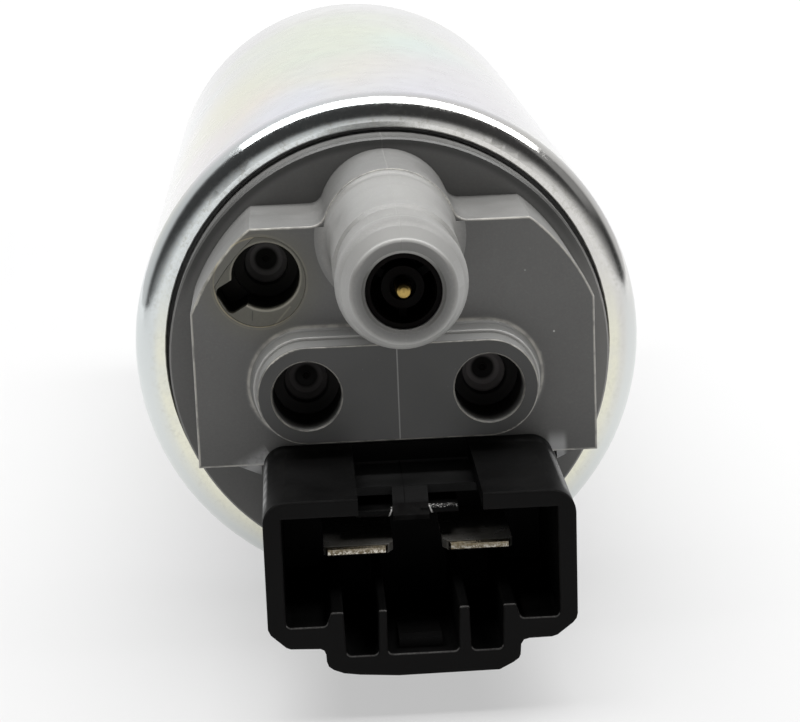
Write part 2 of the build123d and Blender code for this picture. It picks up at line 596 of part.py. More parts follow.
with BuildPart() as armature_windings:
    # bundles that fill the slots, joined by the two end turns
    with BuildSketch(at(-LAM_Y1 - 0.2)):
        with PolarLocations(0, 8, start_angle=22.5):
            with Locations((7.98, 0)):
                RectangleRounded(4.2, 3.8, 1.2)
    extrude(amount=LAM_Y1 - LAM_Y0 + 0.4)
    with BuildSketch(turn_plane(0, 0)) as s:
        with BuildLine():
            Polyline((SHAFT_R + 0.4, 19.5), (8.4, 19.5), (10.2, 20.6), (10.8, 22.0), (10.8, LAM_Y0), (SHAFT_R + 0.4, LAM_Y0), close=True)
        make_face()
        fillet([v for v in s.vertices() if v.X > 8], 0.5)
    revolve(axis=Axis.Y)
    with BuildSketch(turn_plane(0, 0)) as s:
        with BuildLine():
            Polyline((SHAFT_R + 0.4, LAM_Y1), (10.8, LAM_Y1), (10.8, 45.6), (10.0, 47.0), (8.0, 47.9), (SHAFT_R + 0.4, 47.9), close=True)
        make_face()
        fillet([v for v in s.vertices() if v.X > 7.5 and v.Y > 45], 0.5)
    revolve(axis=Axis.Y)
save(armature_windings.part, "armature_windings")

with BuildPart() as thrust_washer:
    with BuildSketch(at(-49.2)):
        Circle(3.6)
        Circle(SHAFT_R, mode=Mode.SUBTRACT)
    extrude(amount=1.2)
save(thrust_washer.part, "thrust_washer")

# ------------------------------------------------------------ field
for side, where in ((-1, "left"), (1, "right")):
    with BuildPart() as magnet:
        with BuildSketch(at(-46.0)):
            Circle(MAG_R1)
            Circle(MAG_R0, mode=Mode.SUBTRACT)
            with Locations((side * 11.0, 0)):
                Rectangle(22.0, 28.6, mode=Mode.INTERSECT)
            with BuildLine():
                Polyline((0, 0), (side * 20, 20 * math.tan(math.radians(66))), (side * 20, -20 * math.tan(math.radians(66))), close=True)
            make_face(mode=Mode.INTERSECT)
        extrude(amount=25.0)
        fillet(magnet.edges().filter_by(Axis.Y), 0.4)
    save(magnet.part, "magnet_" + where)

for side, where in ((1, "upper"), (-1, "lower")):
    # bowed spring clips that wedge the magnets apart
    with BuildPart() as clip:
        with BuildSketch(at(-45.0)) as s:
            with BuildLine():
                Polyline((-4.4, side * 14.85), (-3.6, side * 13.3), (3.6, side * 13.3), (4.4, side * 14.85),
                         (3.95, side * 14.98), (3.3, side * 13.75), (-3.3, side * 13.75), (-3.95, side * 14.98), close=True)
            make_face()
        extrude(amount=23.0)
    save(clip.part, "magnet_clip_" + where)

with BuildPart() as flux_ring:
    with BuildSketch(at(-49.0)):
        Circle(FLUX_R1)
        Circle(FLUX_R0, mode=Mode.SUBTRACT)
        with Locations((0, -17)):
            Rectangle(0.3, 4.0, mode=Mode.SUBTRACT)
    extrude(amount=31.0)
save(flux_ring.part, "flux_ring")

# ------------------------------------------------------------ pumping section
with BuildPart() as pump_outlet_plate:
    with BuildSketch(at(-OUT_PLATE_Y1)):
        Circle(18.1)
    extrude(amount=OUT_PLATE_Y1 - OUT_PLATE_Y0)
    chamfer(pump_outlet_plate.edges().filter_by(GeomType.CIRCLE), 0.4)
    with BuildSketch(at(-OUT_PLATE_Y1 - 0.1)):
        Circle(SHAFT_R + 0.3)
    extrude(amount=8.0, mode=Mode.SUBTRACT)
    with BuildSketch(at(-56.02)):
        Circle(BUSH_R)
    extrude(amount=7.0, mode=Mode.SUBTRACT)
    # kidney port on the delivery side, open to the motor
    with BuildSketch(at(-OUT_PLATE_Y1 - 0.1)):
        with BuildLine():
            CenterArc((0, 0), 9.6, -60, 120)
            Line((9.6 * math.cos(math.radians(60)), 9.6 * math.sin(math.radians(60))), (6.2 * math.cos(math.radians(60)), 6.2 * math.sin(math.radians(60))))
            CenterArc((0, 0), 6.2, -60, 120)
            Line((9.6 * math.cos(math.radians(60)), -9.6 * math.sin(math.radians(60))), (6.2 * math.cos(math.radians(60)), -6.2 * math.sin(math.radians(60))))
        make_face()
    extrude(amount=8.0, mode=Mode.SUBTRACT)
save(pump_outlet_plate.part, "pump_outlet_plate")

with BuildPart() as rotor_ring:
    with BuildSketch(at(-RING_Y1)):
        Circle(18.1)
        with Locations((GER_E, 0)):
            Circle(GER_OUT_R + 0.06, mode=Mode.SUBTRACT)
    extrude(amount=RING_Y1 - OUT_PLATE_Y1)
save(rotor_ring.part, "rotor_ring")


def inner_profile(n_pts, clr):
    """Points of the 6-lobe profile, conjugate to circular teeth (radius
    GER_TOOTH on radius GER_R about a centre GER_E to +X)."""
    pts = []
    for i in range(n_pts):
        t = 2 * math.pi * i / n_pts
        # path of a tooth centre seen from the inner gear, and its normal
        cx = GER_R * math.cos(t) + GER_E * math.cos(GER_N * t)
        cy = GER_R * math.sin(t) + GER_E * math.sin(GER_N * t)
        dx = -GER_R * math.sin(t) - GER_E * GER_N * math.sin(GER_N * t)
        dy = GER_R * math.cos(t) + GER_E * GER_N * math.cos(GER_N * t)
        h = math.hypot(dx, dy)
        pts.append((cx - (GER_TOOTH + clr) * dy / h, cy + (GER_TOOTH + clr) * dx / h))
    return pts


with BuildPart() as inner_gear:
    with BuildSketch(at(-RING_Y1 + 0.04)):
        with BuildLine():
            Spline(*inner_profile(96, GER_CLR), periodic=True)
        make_face()
        with BuildSketch(mode=Mode.PRIVATE) as bore:
            Circle(SHAFT_R + 0.01)
            Rectangle(6, 2 * (SHAFT_R - 0.35 + 0.01), mode=Mode.INTERSECT)
        add(bore.sketch, mode=Mode.SUBTRACT)
    extrude(amount=RING_Y1 - OUT_PLATE_Y1 - 0.08)
save(inner_gear.part, "inner_gear")

with BuildPart() as outer_gear:
    root_r = GER_R + GER_E - GER_TOOTH + GER_E + 0.12
    with BuildSketch(at(-RING_Y1 + 0.04)):
        with Locations((GER_E, 0)):
            Circle(GER_OUT_R)
            Circle(root_r, mode=Mode.SUBTRACT)
            with PolarLocations(GER_R, GER_N, start_angle=0):
                Circle(GER_TOOTH)
            Circle(GER_OUT_R, mode=Mode.INTERSECT)
    extrude(amount=RING_Y1 - OUT_PLATE_Y1 - 0.08)
save(outer_gear.part, "outer_gear")

with BuildPart() as pump_inlet_plate:
    with BuildSketch(at(-IN_PLATE_Y1)):
        Circle(18.1)
        Circle(SHAFT_R + 0.3, mode=Mode.SUBTRACT)
        with BuildLine():
            CenterArc((0, 0), 9.6, 120, 120)
            Line((9.6 * math.cos(math.radians(120)), 9.6 * math.sin(math.radians(120))), (6.2 * math.cos(math.radians(120)), 6.2 * math.sin(math.radians(120))))
            CenterArc((0, 0), 6.2, 120, 120)
            Line((9.6 * math.cos(math.radians(120)), -9.6 * math.sin(math.radians(120))), (6.2 * math.cos(math.radians(120)), -6.2 * math.sin(math.radians(120))))
        make_face(mode=Mode.SUBTRACT)
    extrude(amount=IN_PLATE_Y1 - RING_Y1)
save(pump_inlet_plate.part, "pump_inlet_plate")

# ------------------------------------------------------------ inlet end
with BuildPart() as inlet_cover:
    with BuildSketch(turn_plane(0, 0)):
        with BuildLine():
            Polyline((0, IN_PLATE_Y1), (CAP_R, IN_PLATE_Y1), (CAP_R, 74.0), (16.66, 74.0), (16.66, 75.45), (CAP_R, 75.45), (CAP_R, COVER_FLANGE_Y - 1.0), (CAP_R - 0.95, COVER_FLANGE_Y - 0.05),
                     (BOSS_R, COVER_FLANGE_Y - 0.05), (BOSS_R, COVER_FACE_Y - 0.4), (BOSS_R - 0.4, COVER_FACE_Y), (0, COVER_FACE_Y), close=True)
        make_face()
    revolve(axis=Axis.Y)
    # shallow recess in the back face, with ribs left standing
    with BuildSketch(at(-COVER_FACE_Y - 0.1)):
        Circle(14.9)
        with Locations((0, SPIGOT_Z)):
            Circle(7.0, mode=Mode.SUBTRACT)
        with Locations((POST_X, POST_Z)):
            Circle(3.0, mode=Mode.SUBTRACT)
        Rectangle(1.2, 40, mode=Mode.SUBTRACT)
        Rectangle(40, 1.2, mode=Mode.SUBTRACT)
    extrude(amount=2.3, mode=Mode.SUBTRACT)
    # inlet spigot with a lead-in chamfer
    with BuildSketch(turn_plane(0, SPIGOT_Z)) as s:
        with BuildLine():
            Polyline((0, 82.0), (SPIGOT_R + 0.6, 82.0), (SPIGOT_R + 0.6, COVER_FACE_Y + 0.1), (SPIGOT_R, COVER_FACE_Y + 0.7), (SPIGOT_R, 92.6),
                     (SPIGOT_R - 0.5, SPIGOT_END - 0.2), (SPIGOT_R - 0.7, SPIGOT_END), (0, SPIGOT_END), close=True)
        make_face()
    revolve(axis=y_axis(0, SPIGOT_Z))
    # locating post for the strainer's push-on washer
    with BuildSketch(at(-82.0)):
        with Locations((POST_X, POST_Z)):
            Circle(1.6)
    extrude(amount=-6.5)
    chamfer(inlet_cover.faces().filter_by(Plane.XZ).sort_by(Axis.Y)[-2].edges(), 0.4)
    # suction chamber, open to the wear plate
    with BuildSketch(at(-IN_PLATE_Y1 + 0.1)):
        Circle(15.0)
    extrude(amount=-9.1, mode=Mode.SUBTRACT)
    # spigot bore
    with BuildSketch(turn_plane(0, SPIGOT_Z)):
        with BuildLine():
            Polyline((0, 70), (SPIGOT_BORE, 70), (SPIGOT_BORE, SPIGOT_END - 0.5), (SPIGOT_BORE + 0.5, SPIGOT_END + 0.1), (0, SPIGOT_END + 0.1), close=True)
        make_face()
    revolve(axis=y_axis(0, SPIGOT_Z), mode=Mode.SUBTRACT)
    # vapour bleed
    with BuildSketch(at(-COVER_FACE_Y - 0.2)):
        with Locations((-8.0, 6.0)):
            Circle(0.7)
    extrude(amount=8.0, mode=Mode.SUBTRACT)
save(inlet_cover.part, "inlet_cover")


def ring_seal(name, y):
    with BuildPart() as seal:
        with BuildSketch(turn_plane(0, 0)):
            with Locations((17.43, y)):
                Circle(0.71)
        revolve(axis=Axis.Y)
    save(seal.part, name)
    return seal


cap_seal = ring_seal("cap_seal", 3.625)
inlet_seal = ring_seal("inlet_seal", 74.725)
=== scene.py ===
import math

import bpy
from mathutils import Matrix, Vector


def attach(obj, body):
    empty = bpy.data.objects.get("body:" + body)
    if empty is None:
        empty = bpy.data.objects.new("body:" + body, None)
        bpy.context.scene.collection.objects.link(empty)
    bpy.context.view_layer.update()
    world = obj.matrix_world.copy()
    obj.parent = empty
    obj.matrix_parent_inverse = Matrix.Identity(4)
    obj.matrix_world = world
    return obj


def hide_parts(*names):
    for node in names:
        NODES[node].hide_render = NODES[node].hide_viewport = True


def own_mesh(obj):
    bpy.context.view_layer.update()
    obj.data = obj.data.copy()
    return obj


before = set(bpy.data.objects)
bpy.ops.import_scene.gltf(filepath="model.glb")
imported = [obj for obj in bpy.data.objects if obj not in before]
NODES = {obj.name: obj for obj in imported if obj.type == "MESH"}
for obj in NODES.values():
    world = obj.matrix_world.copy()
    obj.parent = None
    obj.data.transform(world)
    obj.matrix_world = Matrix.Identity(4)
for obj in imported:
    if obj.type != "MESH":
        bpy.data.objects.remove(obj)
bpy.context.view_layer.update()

# In-tank fuel pump lying on its side. Metres, in the part's own frame: the pump
# axis is +Y, the outlet end faces -Y, +Z is up.

# ------------------------------------------------------------ node helpers


class Shader:
    """A principled material with its own little set of node makers.
    Coordinates are the object's own, turned into millimetres."""

    def __init__(self, name):
        self.m = bpy.data.materials.new(name)
        self.m.use_nodes = True
        self.t = self.m.node_tree
        self.t.nodes.clear()
        self.out = self.t.nodes.new("ShaderNodeOutputMaterial")
        self.p = self.t.nodes.new("ShaderNodeBsdfPrincipled")
        self.t.links.new(self.p.outputs[0], self.out.inputs[0])
        tc = self.t.nodes.new("ShaderNodeTexCoord")
        mm = self.t.nodes.new("ShaderNodeVectorMath")
        mm.operation = "SCALE"
        mm.inputs["Scale"].default_value = 1000.0
        self.t.links.new(tc.outputs["Object"], mm.inputs[0])
        self.mm = mm.outputs[0]
        self.normal = tc.outputs["Normal"]
        self.height = None
        self.sep = None
        self.nsep = None

    def link(self, a, b):
        if isinstance(a, (int, float)):
            b.default_value = a
        elif isinstance(a, (tuple, list)):
            b.default_value = a if len(a) == len(b.default_value) else (*a, 1.0)
        else:
            self.t.links.new(a, b)

    def axis(self, i):
        if self.sep is None:
            self.sep = self.t.nodes.new("ShaderNodeSeparateXYZ")
            self.t.links.new(self.mm, self.sep.inputs[0])
        return self.sep.outputs[i]

    def naxis(self, i):
        if self.nsep is None:
            self.nsep = self.t.nodes.new("ShaderNodeSeparateXYZ")
            self.t.links.new(self.normal, self.nsep.inputs[0])
        return self.nsep.outputs[i]

    def math(self, op, a, b=0.0, c=0.0, clamp=False):
        n = self.t.nodes.new("ShaderNodeMath")
        n.operation = op
        n.use_clamp = clamp
        self.link(a, n.inputs[0])
        self.link(b, n.inputs[1])
        self.link(c, n.inputs[2])
        return n.outputs[0]

    def stretch(self, sx, sy, sz, vec=None):
        n = self.t.nodes.new("ShaderNodeVectorMath")
        n.operation = "MULTIPLY"
        self.t.links.new(vec or self.mm, n.inputs[0])
        n.inputs[1].default_value = (sx, sy, sz)
        return n.outputs[0]

    def moved(self, v):
        n = self.t.nodes.new("ShaderNodeVectorMath")
        n.operation = "SUBTRACT"
        self.t.links.new(self.mm, n.inputs[0])
        n.inputs[1].default_value = v
        return n.outputs[0]

    def noise(self, scale, detail=2.0, rough=0.5, vec=None, distortion=0.0):
        n = self.t.nodes.new("ShaderNodeTexNoise")
        n.inputs["Scale"].default_value = scale
        n.inputs["Detail"].default_value = detail
        n.inputs["Roughness"].default_value = rough
        n.inputs["Distortion"].default_value = distortion
        self.t.links.new(vec or self.mm, n.inputs["Vector"])
        return n.outputs["Fac"]

    def cells(self, scale, vec=None, feature="F1"):
        n = self.t.nodes.new("ShaderNodeTexVoronoi")
        n.feature = feature
        n.inputs["Scale"].default_value = scale
        self.t.links.new(vec or self.mm, n.inputs["Vector"])
        return n.outputs["Distance"]

    def ramp(self, fac, stops, mode="LINEAR"):
        n = self.t.nodes.new("ShaderNodeValToRGB")
        n.color_ramp.interpolation = mode
        e = n.color_ramp.elements
        while len(e) < len(stops):
            e.new(0.5)
        for k, (pos, col) in zip(e, stops):
            k.position = pos
            if isinstance(col, (int, float)):
                col = (col, col, col)
            k.color = (*col, 1.0)
        self.t.links.new(fac, n.inputs[0])
        return n.outputs[0]

    def span(self, v, lo, hi, a=0.0, b=1.0, smooth=True):
        n = self.t.nodes.new("ShaderNodeMapRange")
        n.interpolation_type = "SMOOTHSTEP" if smooth else "LINEAR"
        n.clamp = True
        self.link(v, n.inputs[0])
        n.inputs[1].default_value = lo
        n.inputs[2].default_value = hi
        n.inputs[3].default_value = a
        n.inputs[4].default_value = b
        return n.outputs[0]

    def mix(self, fac, a, b, mode="MIX"):
        n = self.t.nodes.new("ShaderNodeMix")
        n.data_type = "RGBA"
        n.blend_type = mode
        self.link(fac, n.inputs[0])
        self.link(a, n.inputs[6])
        self.link(b, n.inputs[7])
        return n.outputs[2]

    def near(self, i, at, half):
        """1 on a plane across axis i, fading to 0 at half away."""
        return self.span(self.math("ABSOLUTE", self.math("SUBTRACT", self.axis(i), at)), 0.0, half, 1.0, 0.0)

    def blob(self, at, r0, r1, squash=1.0):
        """1 within r0 of a point, 0 beyond r1; longer along Y where squash is under 1."""
        n = self.t.nodes.new("ShaderNodeVectorMath")
        n.operation = "LENGTH"
        self.t.links.new(self.stretch(1.0, squash, 1.0, vec=self.moved(at)), n.inputs[0])
        return self.span(n.outputs["Value"], r0, r1, 1.0, 0.0)

    def within(self, i, lo, hi, soft):
        """1 between lo and hi along axis i, fading over soft outside."""
        a = self.span(self.axis(i), lo - soft, lo)
        b = self.span(self.axis(i), hi, hi + soft, 1.0, 0.0)
        return self.math("MULTIPLY", a, b)

    def both(self, *masks):
        out = masks[0]
        for m in masks[1:]:
            out = self.math("MULTIPLY", out, m)
        return out

    def stroke(self, x0, z0, x1, z1, half):
        """1 on a straight line between two points of the cross plane."""
        n = math.hypot(x1 - x0, z1 - z0)
        ux, uz = (x1 - x0) / n, (z1 - z0) / n
        dx = self.math("SUBTRACT", self.axis(0), x0)
        dz = self.math("SUBTRACT", self.axis(2), z0)
        off = self.math("ABSOLUTE", self.math("SUBTRACT", self.math("MULTIPLY", dx, uz), self.math("MULTIPLY", dz, ux)))
        along = self.math("ADD", self.math("MULTIPLY", dx, ux), self.math("MULTIPLY", dz, uz))
        inside = self.math("MULTIPLY", self.span(along, -0.1, 0.0), self.span(along, n, n + 0.1, 1.0, 0.0))
        return self.math("MULTIPLY", self.span(off, 0.0, half, 1.0, 0.0), inside)

    def disc(self, x, z, r, soft):
        """1 inside a circle about the Y direction through x, z."""
        dx = self.math("SUBTRACT", self.axis(0), x)
        dz = self.math("SUBTRACT", self.axis(2), z)
        d = self.math("SQRT", self.math("ADD", self.math("MULTIPLY", dx, dx), self.math("MULTIPLY", dz, dz)))
        return self.span(d, r, r + soft, 1.0, 0.0)

    def ring(self, x, z, r, half):
        """1 on a circle about the Y direction through x, z."""
        dx = self.math("SUBTRACT", self.axis(0), x)
        dz = self.math("SUBTRACT", self.axis(2), z)
        d = self.math("SQRT", self.math("ADD", self.math("MULTIPLY", dx, dx), self.math("MULTIPLY", dz, dz)))
        return self.span(self.math("ABSOLUTE", self.math("SUBTRACT", d, r)), 0.0, half, 1.0, 0.0)

    def edge(self, i=1, lo=0.25, full=0.6):
        """1 where the surface turns between facing along axis i and across it."""
        a = self.math("ABSOLUTE", self.naxis(i))
        up = self.span(a, lo, full)
        down = self.span(a, 0.9, 0.995, 1.0, 0.0)
        return self.math("MULTIPLY", up, down)

    def bump(self, height, depth_mm, strength=1.0):
        n = self.t.nodes.new("ShaderNodeBump")
        n.inputs["Strength"].default_value = strength
        n.inputs["Distance"].default_value = depth_mm * 0.001
        self.t.links.new(height, n.inputs["Height"])
        if self.height is not None:
            self.t.links.new(self.height, n.inputs["Normal"])
        self.height = n.outputs[0]

    def set(self, **kw):
        names = {"color": "Base Color", "rough": "Roughness", "metal": "Metallic", "spec": "Specular IOR Level", "coat": "Coat Weight",
                 "coat_rough": "Coat Roughness", "aniso": "Anisotropic"}
        for k, v in kw.items():
            self.link(v, self.p.inputs[names[k]])

    def done(self):
        if self.height is not None:
            self.t.links.new(self.height, self.p.inputs["Normal"])
        return self.m


# ------------------------------------------------------------ materials


def grey_plastic(name, tone=0.125, seam=0.3, wear_and_sheen=0.62, plug=True, face=True, rough=(0.38, 0.50)):
    s = Shader(name)
    cloud = s.noise(0.22, 3.0, 0.55)
    grain = s.noise(5.5, 4.0, 0.65)
    fibre = s.noise(3.0, 2.0, 0.5, vec=s.stretch(1.0, 0.25, 3.0))
    k = tone
    col = s.ramp(cloud, [(0.3, (k * 0.92, k * 0.91, k * 0.875)), (0.7, (k * 1.10, k * 1.09, k * 1.055))])
    col = s.mix(s.span(grain, 0.35, 0.7, 0.0, 0.22), col, (k * 1.45, k * 1.43, k * 1.36))
    col = s.mix(s.span(fibre, 0.6, 0.75, 0.0, 0.15), col, (k * 1.8, k * 1.78, k * 1.7))
    if face:
        # the pad's face is painted darker than the block, painted shade below the nipple, and the block darkens low
        # down
        pad = s.both(s.span(s.axis(1), -16.2, -16.45), s.span(s.axis(2), 4.6, 4.9, 1.0, 0.0))
        col = s.mix(s.math("MULTIPLY", pad, 0.85), col, (k * 0.34, k * 0.34, k * 0.33))
        low = s.both(s.span(s.axis(2), -0.5, -5.0), s.span(s.axis(1), -12.9, -12.8, 0.0, 1.0))
        col = s.mix(s.math("MULTIPLY", low, 0.22), col, (k * 0.4, k * 0.4, k * 0.39))
        # warmer round the plug
        warm = s.both(s.disc(-9.36, 8.16, 3.0, 2.2), s.span(s.axis(1), -12.4, -12.6))
        col = s.mix(s.math("MULTIPLY", warm, 0.5), col, (k * 1.12, k * 1.08, k * 0.82))
        # pale patches where the connector's sides are trapped: painted highlights standing for lit swellings
        left = s.both(s.stroke(-11.5, -6.0, -9.2, -4.75, 1.25), s.within(1, -13.0, -11.8, 0.2), s.span(s.noise(2.2, 3.0), 0.3, 0.6, 0.6, 1.0))
        right = s.both(s.within(0, 11.1, 11.9, 0.45), s.span(s.axis(2), -3.6, -4.9), s.within(1, -13.0, -11.8, 0.2))
        for m in (left, right):
            col = s.mix(s.math("MULTIPLY", m, 0.85), col, (k * 4.0, k * 4.0, k * 4.0))
    # specks of light dust
    dust = s.span(s.cells(0.9), 0.0, 0.035, 1.0, 0.0, smooth=False)
    col = s.mix(s.math("MULTIPLY", dust, 0.25), col, (0.5, 0.5, 0.47))
    # edges painted pale, unevenly: partly rubbed by handling, partly a painted highlight on their rounding
    worn_and_lit = s.math("MULTIPLY", s.edge(1), s.span(s.noise(1.3, 3.0), 0.3, 0.62, 0.35, 1.0))
    if face:
        worn_and_lit = s.math("MULTIPLY", worn_and_lit, s.span(s.axis(1), -3.7, -3.2, 1.0, 0.05))
        chips = s.math("MULTIPLY", s.disc(0.0, 11.0, 5.6, 0.8), s.span(s.noise(5.0, 2.0), 0.38, 0.55, 0.5, 0.0))
        foot = s.math("MULTIPLY", s.within(1, -15.9, -12.9, 0.1), 0.9)
        worn_and_lit = s.both(worn_and_lit, s.math("SUBTRACT", 1.0, chips), s.math("SUBTRACT", 1.0, foot))
    col = s.mix(s.math("MULTIPLY", worn_and_lit, wear_and_sheen), col, (0.50, 0.48, 0.43))
    s.bump(grain, 0.010, 0.4)
    s.bump(fibre, 0.008, 0.2)
    line = s.near(0, 0.0, 0.075)
    col = s.mix(s.math("MULTIPLY", line, seam), col, (k * 2.6, k * 2.55, k * 2.45))
    s.bump(line, 0.03, 0.4)
    if not face and not plug and k > 0.15:
        # painted shade on the inner front face and on top of the lead-in cone; painted highlights on the outer band of
        # the front, low down, and on the front lip at the top
        mouth = s.both(s.span(s.axis(1), -31.9, -32.2), s.disc(0.0, 11.0, 2.75, 0.5))
        col = s.mix(s.math("MULTIPLY", mouth, 0.6), col, (k * 0.42, k * 0.42, k * 0.40))
        lit_band = s.both(s.span(s.axis(1), -30.0, -30.5), s.math("SUBTRACT", 1.0, s.disc(0.0, 11.0, 3.1, 0.4)), s.span(s.axis(2), 12.5, 9.5))
        col = s.mix(s.math("MULTIPLY", lit_band, 0.6), col, (k * 1.75, k * 1.74, k * 1.68))
        cone = s.both(s.span(s.axis(1), -30.2, -30.6), s.span(s.axis(2), 11.5, 14.0))
        col = s.mix(s.math("MULTIPLY", cone, 0.8), col, (k * 0.92, k * 0.91, k * 0.87))
        lip = s.both(s.span(s.axis(1), -31.8, -32.0), s.edge(1, 0.25, 0.5), s.span(s.axis(2), 12.0, 13.5))
        col = s.mix(s.math("MULTIPLY", lip, 0.7), col, (k * 1.9, k * 1.88, k * 1.8))
        # the bore darkened to near black
        col = s.mix(s.disc(0.0, 11.0, 2.44, 0.06), col, (0.006, 0.005, 0.005))
    if face:
        # the top of the cap's round edge is painted darker towards its face: painted shade
        outer = s.math("SUBTRACT", 1.0, s.disc(0.0, 0.0, 15.8, 0.5))
        col = s.mix(s.math("MULTIPLY", s.both(outer, s.span(s.axis(1), -0.6, -2.9), s.span(s.axis(2), 4.0, 8.0)), 0.8), col, (k * 0.30, k * 0.30, k * 0.28))
        # sides of the pad and the round face right of the block catch more light
        side = s.both(s.span(s.axis(1), -12.85, -13.0), s.span(s.axis(1), -16.5, -16.3), s.span(s.axis(2), 4.9, 5.2, 1.0, 0.0))
        col = s.mix(s.math("MULTIPLY", side, 0.55), col, (k * 2.1, k * 2.1, k * 2.05))
        # the front-facing step between the pad's tiers painted lighter: painted light over the shadow in its crease
        tier = s.both(s.within(1, -14.72, -14.45, 0.06), s.span(s.naxis(1), -0.4, -0.8))
        col = s.mix(s.math("MULTIPLY", tier, 0.8), col, (k * 3.6, k * 3.55, k * 3.4))
        flank = s.both(s.span(s.axis(0), 12.0, 16.8), s.span(s.axis(1), -3.4, -3.1))
        col = s.mix(s.math("MULTIPLY", flank, 0.55), col, (k * 2.2, k * 2.15, k * 2.05))
        # painted shade in the blind holes, with their floors painted lighter, the right one most: painted light
        deep = s.span(s.axis(1), -16.25, -14.6)
        gloss = 0.5
        # the mould line shows brighter on the pad's smooth face
        col = s.mix(s.math("MULTIPLY", s.both(line, pad), 0.5), col, (k * 2.9, k * 2.9, k * 2.8))
        for x, z, g in ((-6.42, 0.61, 0.85), (6.42, 0.61, 1.7)):
            col = s.mix(s.both(s.disc(x, z, 2.46, 0.05), deep, s.within(1, -17.0, -9.0, 0.1)), col, (k * 0.11, k * 0.10, k * 0.095))
            col = s.mix(s.both(s.disc(x, z, 2.3, 0.05), s.within(1, -11.3, -10.45, 0.15)), col, (k * g, k * g * 0.93, k * g * 0.92))
            gloss = s.math("SUBTRACT", gloss, s.math("MULTIPLY", s.both(s.disc(x, z, 2.46, 0.05), deep), 0.43))
    if plug:
        # flash round the plug, two lines, tan
        front = s.span(s.axis(1), -12.4, -12.6)
        brk = s.span(s.noise(0.9, 2.0), 0.3, 0.6, 0.35, 1.0)
        for r, w, g in ((3.25, 0.10, 0.62), (3.42, 0.08, 0.18)):
            line = s.both(s.ring(-9.42, 8.14, r, w), front, brk)
            col = s.mix(s.math("MULTIPLY", line, g), col, (0.40, 0.34, 0.21))
        # the plug's chord, a short scratch and two pale specks
        col = s.mix(s.math("MULTIPLY", s.both(s.stroke(-7.33, 6.26, -8.46, 5.0, 0.1), front), 0.55), col, (0.36, 0.31, 0.22))
        col = s.mix(s.math("MULTIPLY", s.both(s.stroke(-10.0, 6.05, -10.05, 5.42, 0.07), front), 0.6), col, (k * 0.30, k * 0.29, k * 0.25))
        for at, g in (((9.5, -12.7, 8.14), 0.25), ((11.47, -12.7, 3.59), 0.75)):
            col = s.mix(s.math("MULTIPLY", s.blob(at, 0.03, 0.10), g), col, (0.75, 0.75, 0.72))
    s.set(color=col, rough=s.span(cloud, 0.3, 0.7, *rough), spec=gloss if face else 0.5)
    return s.done()


def plug_plastic(name, tone=0.115):
    """The plug's own grey, with painted shade inside the hole and its keyway."""
    s = Shader(name)
    cloud = s.noise(0.5, 3.0, 0.6)
    grain = s.noise(5.5, 4.0, 0.65)
    k = tone
    col = s.ramp(cloud, [(0.3, (k * 0.98, k * 0.95, k * 0.76)), (0.7, (k * 1.14, k * 1.10, k * 0.90))])
    col = s.mix(s.span(grain, 0.35, 0.7, 0.0, 0.2), col, (k * 1.45, k * 1.4, k * 1.2))
    # painted shade deep in the hole and its keyway
    deep = s.span(s.axis(1), -12.5, -11.6)
    col = s.mix(s.math("MULTIPLY", deep, 0.95), col, (k * 0.09, k * 0.085, k * 0.08))
    # the seat deep in the hole is painted a little paler: a painted highlight ring
    col = s.mix(s.math("MULTIPLY", s.within(1, -7.1, -6.1, 0.2), 0.9), col, (k * 1.8, k * 1.72, k * 1.68))
    # painted highlight round the hole's rim, strongest low down
    rim = s.both(s.ring(-8.95, 8.55, 2.5, 0.13), s.span(s.axis(1), -12.3, -12.6), s.span(s.axis(2), 8.4, 6.6, 0.4, 0.85))
    col = s.mix(rim, col, (0.38, 0.36, 0.30))
    nick = s.both(s.stroke(-10.0, 6.05, -10.05, 5.42, 0.07), s.span(s.axis(1), -12.4, -12.6))
    col = s.mix(s.math("MULTIPLY", nick, 0.7), col, (k * 0.30, k * 0.29, k * 0.24))
    chord = s.both(s.stroke(-7.33, 6.26, -8.46, 5.0, 0.1), s.span(s.axis(1), -12.4, -12.6))
    col = s.mix(s.math("MULTIPLY", chord, 0.4), col, (0.34, 0.31, 0.24))
    s.bump(grain, 0.010, 0.4)
    s.set(color=col, rough=s.span(cloud, 0.3, 0.7, 0.38, 0.5), spec=s.math("SUBTRACT", 0.4, s.math("MULTIPLY", deep, 0.36)))
    return s.done()


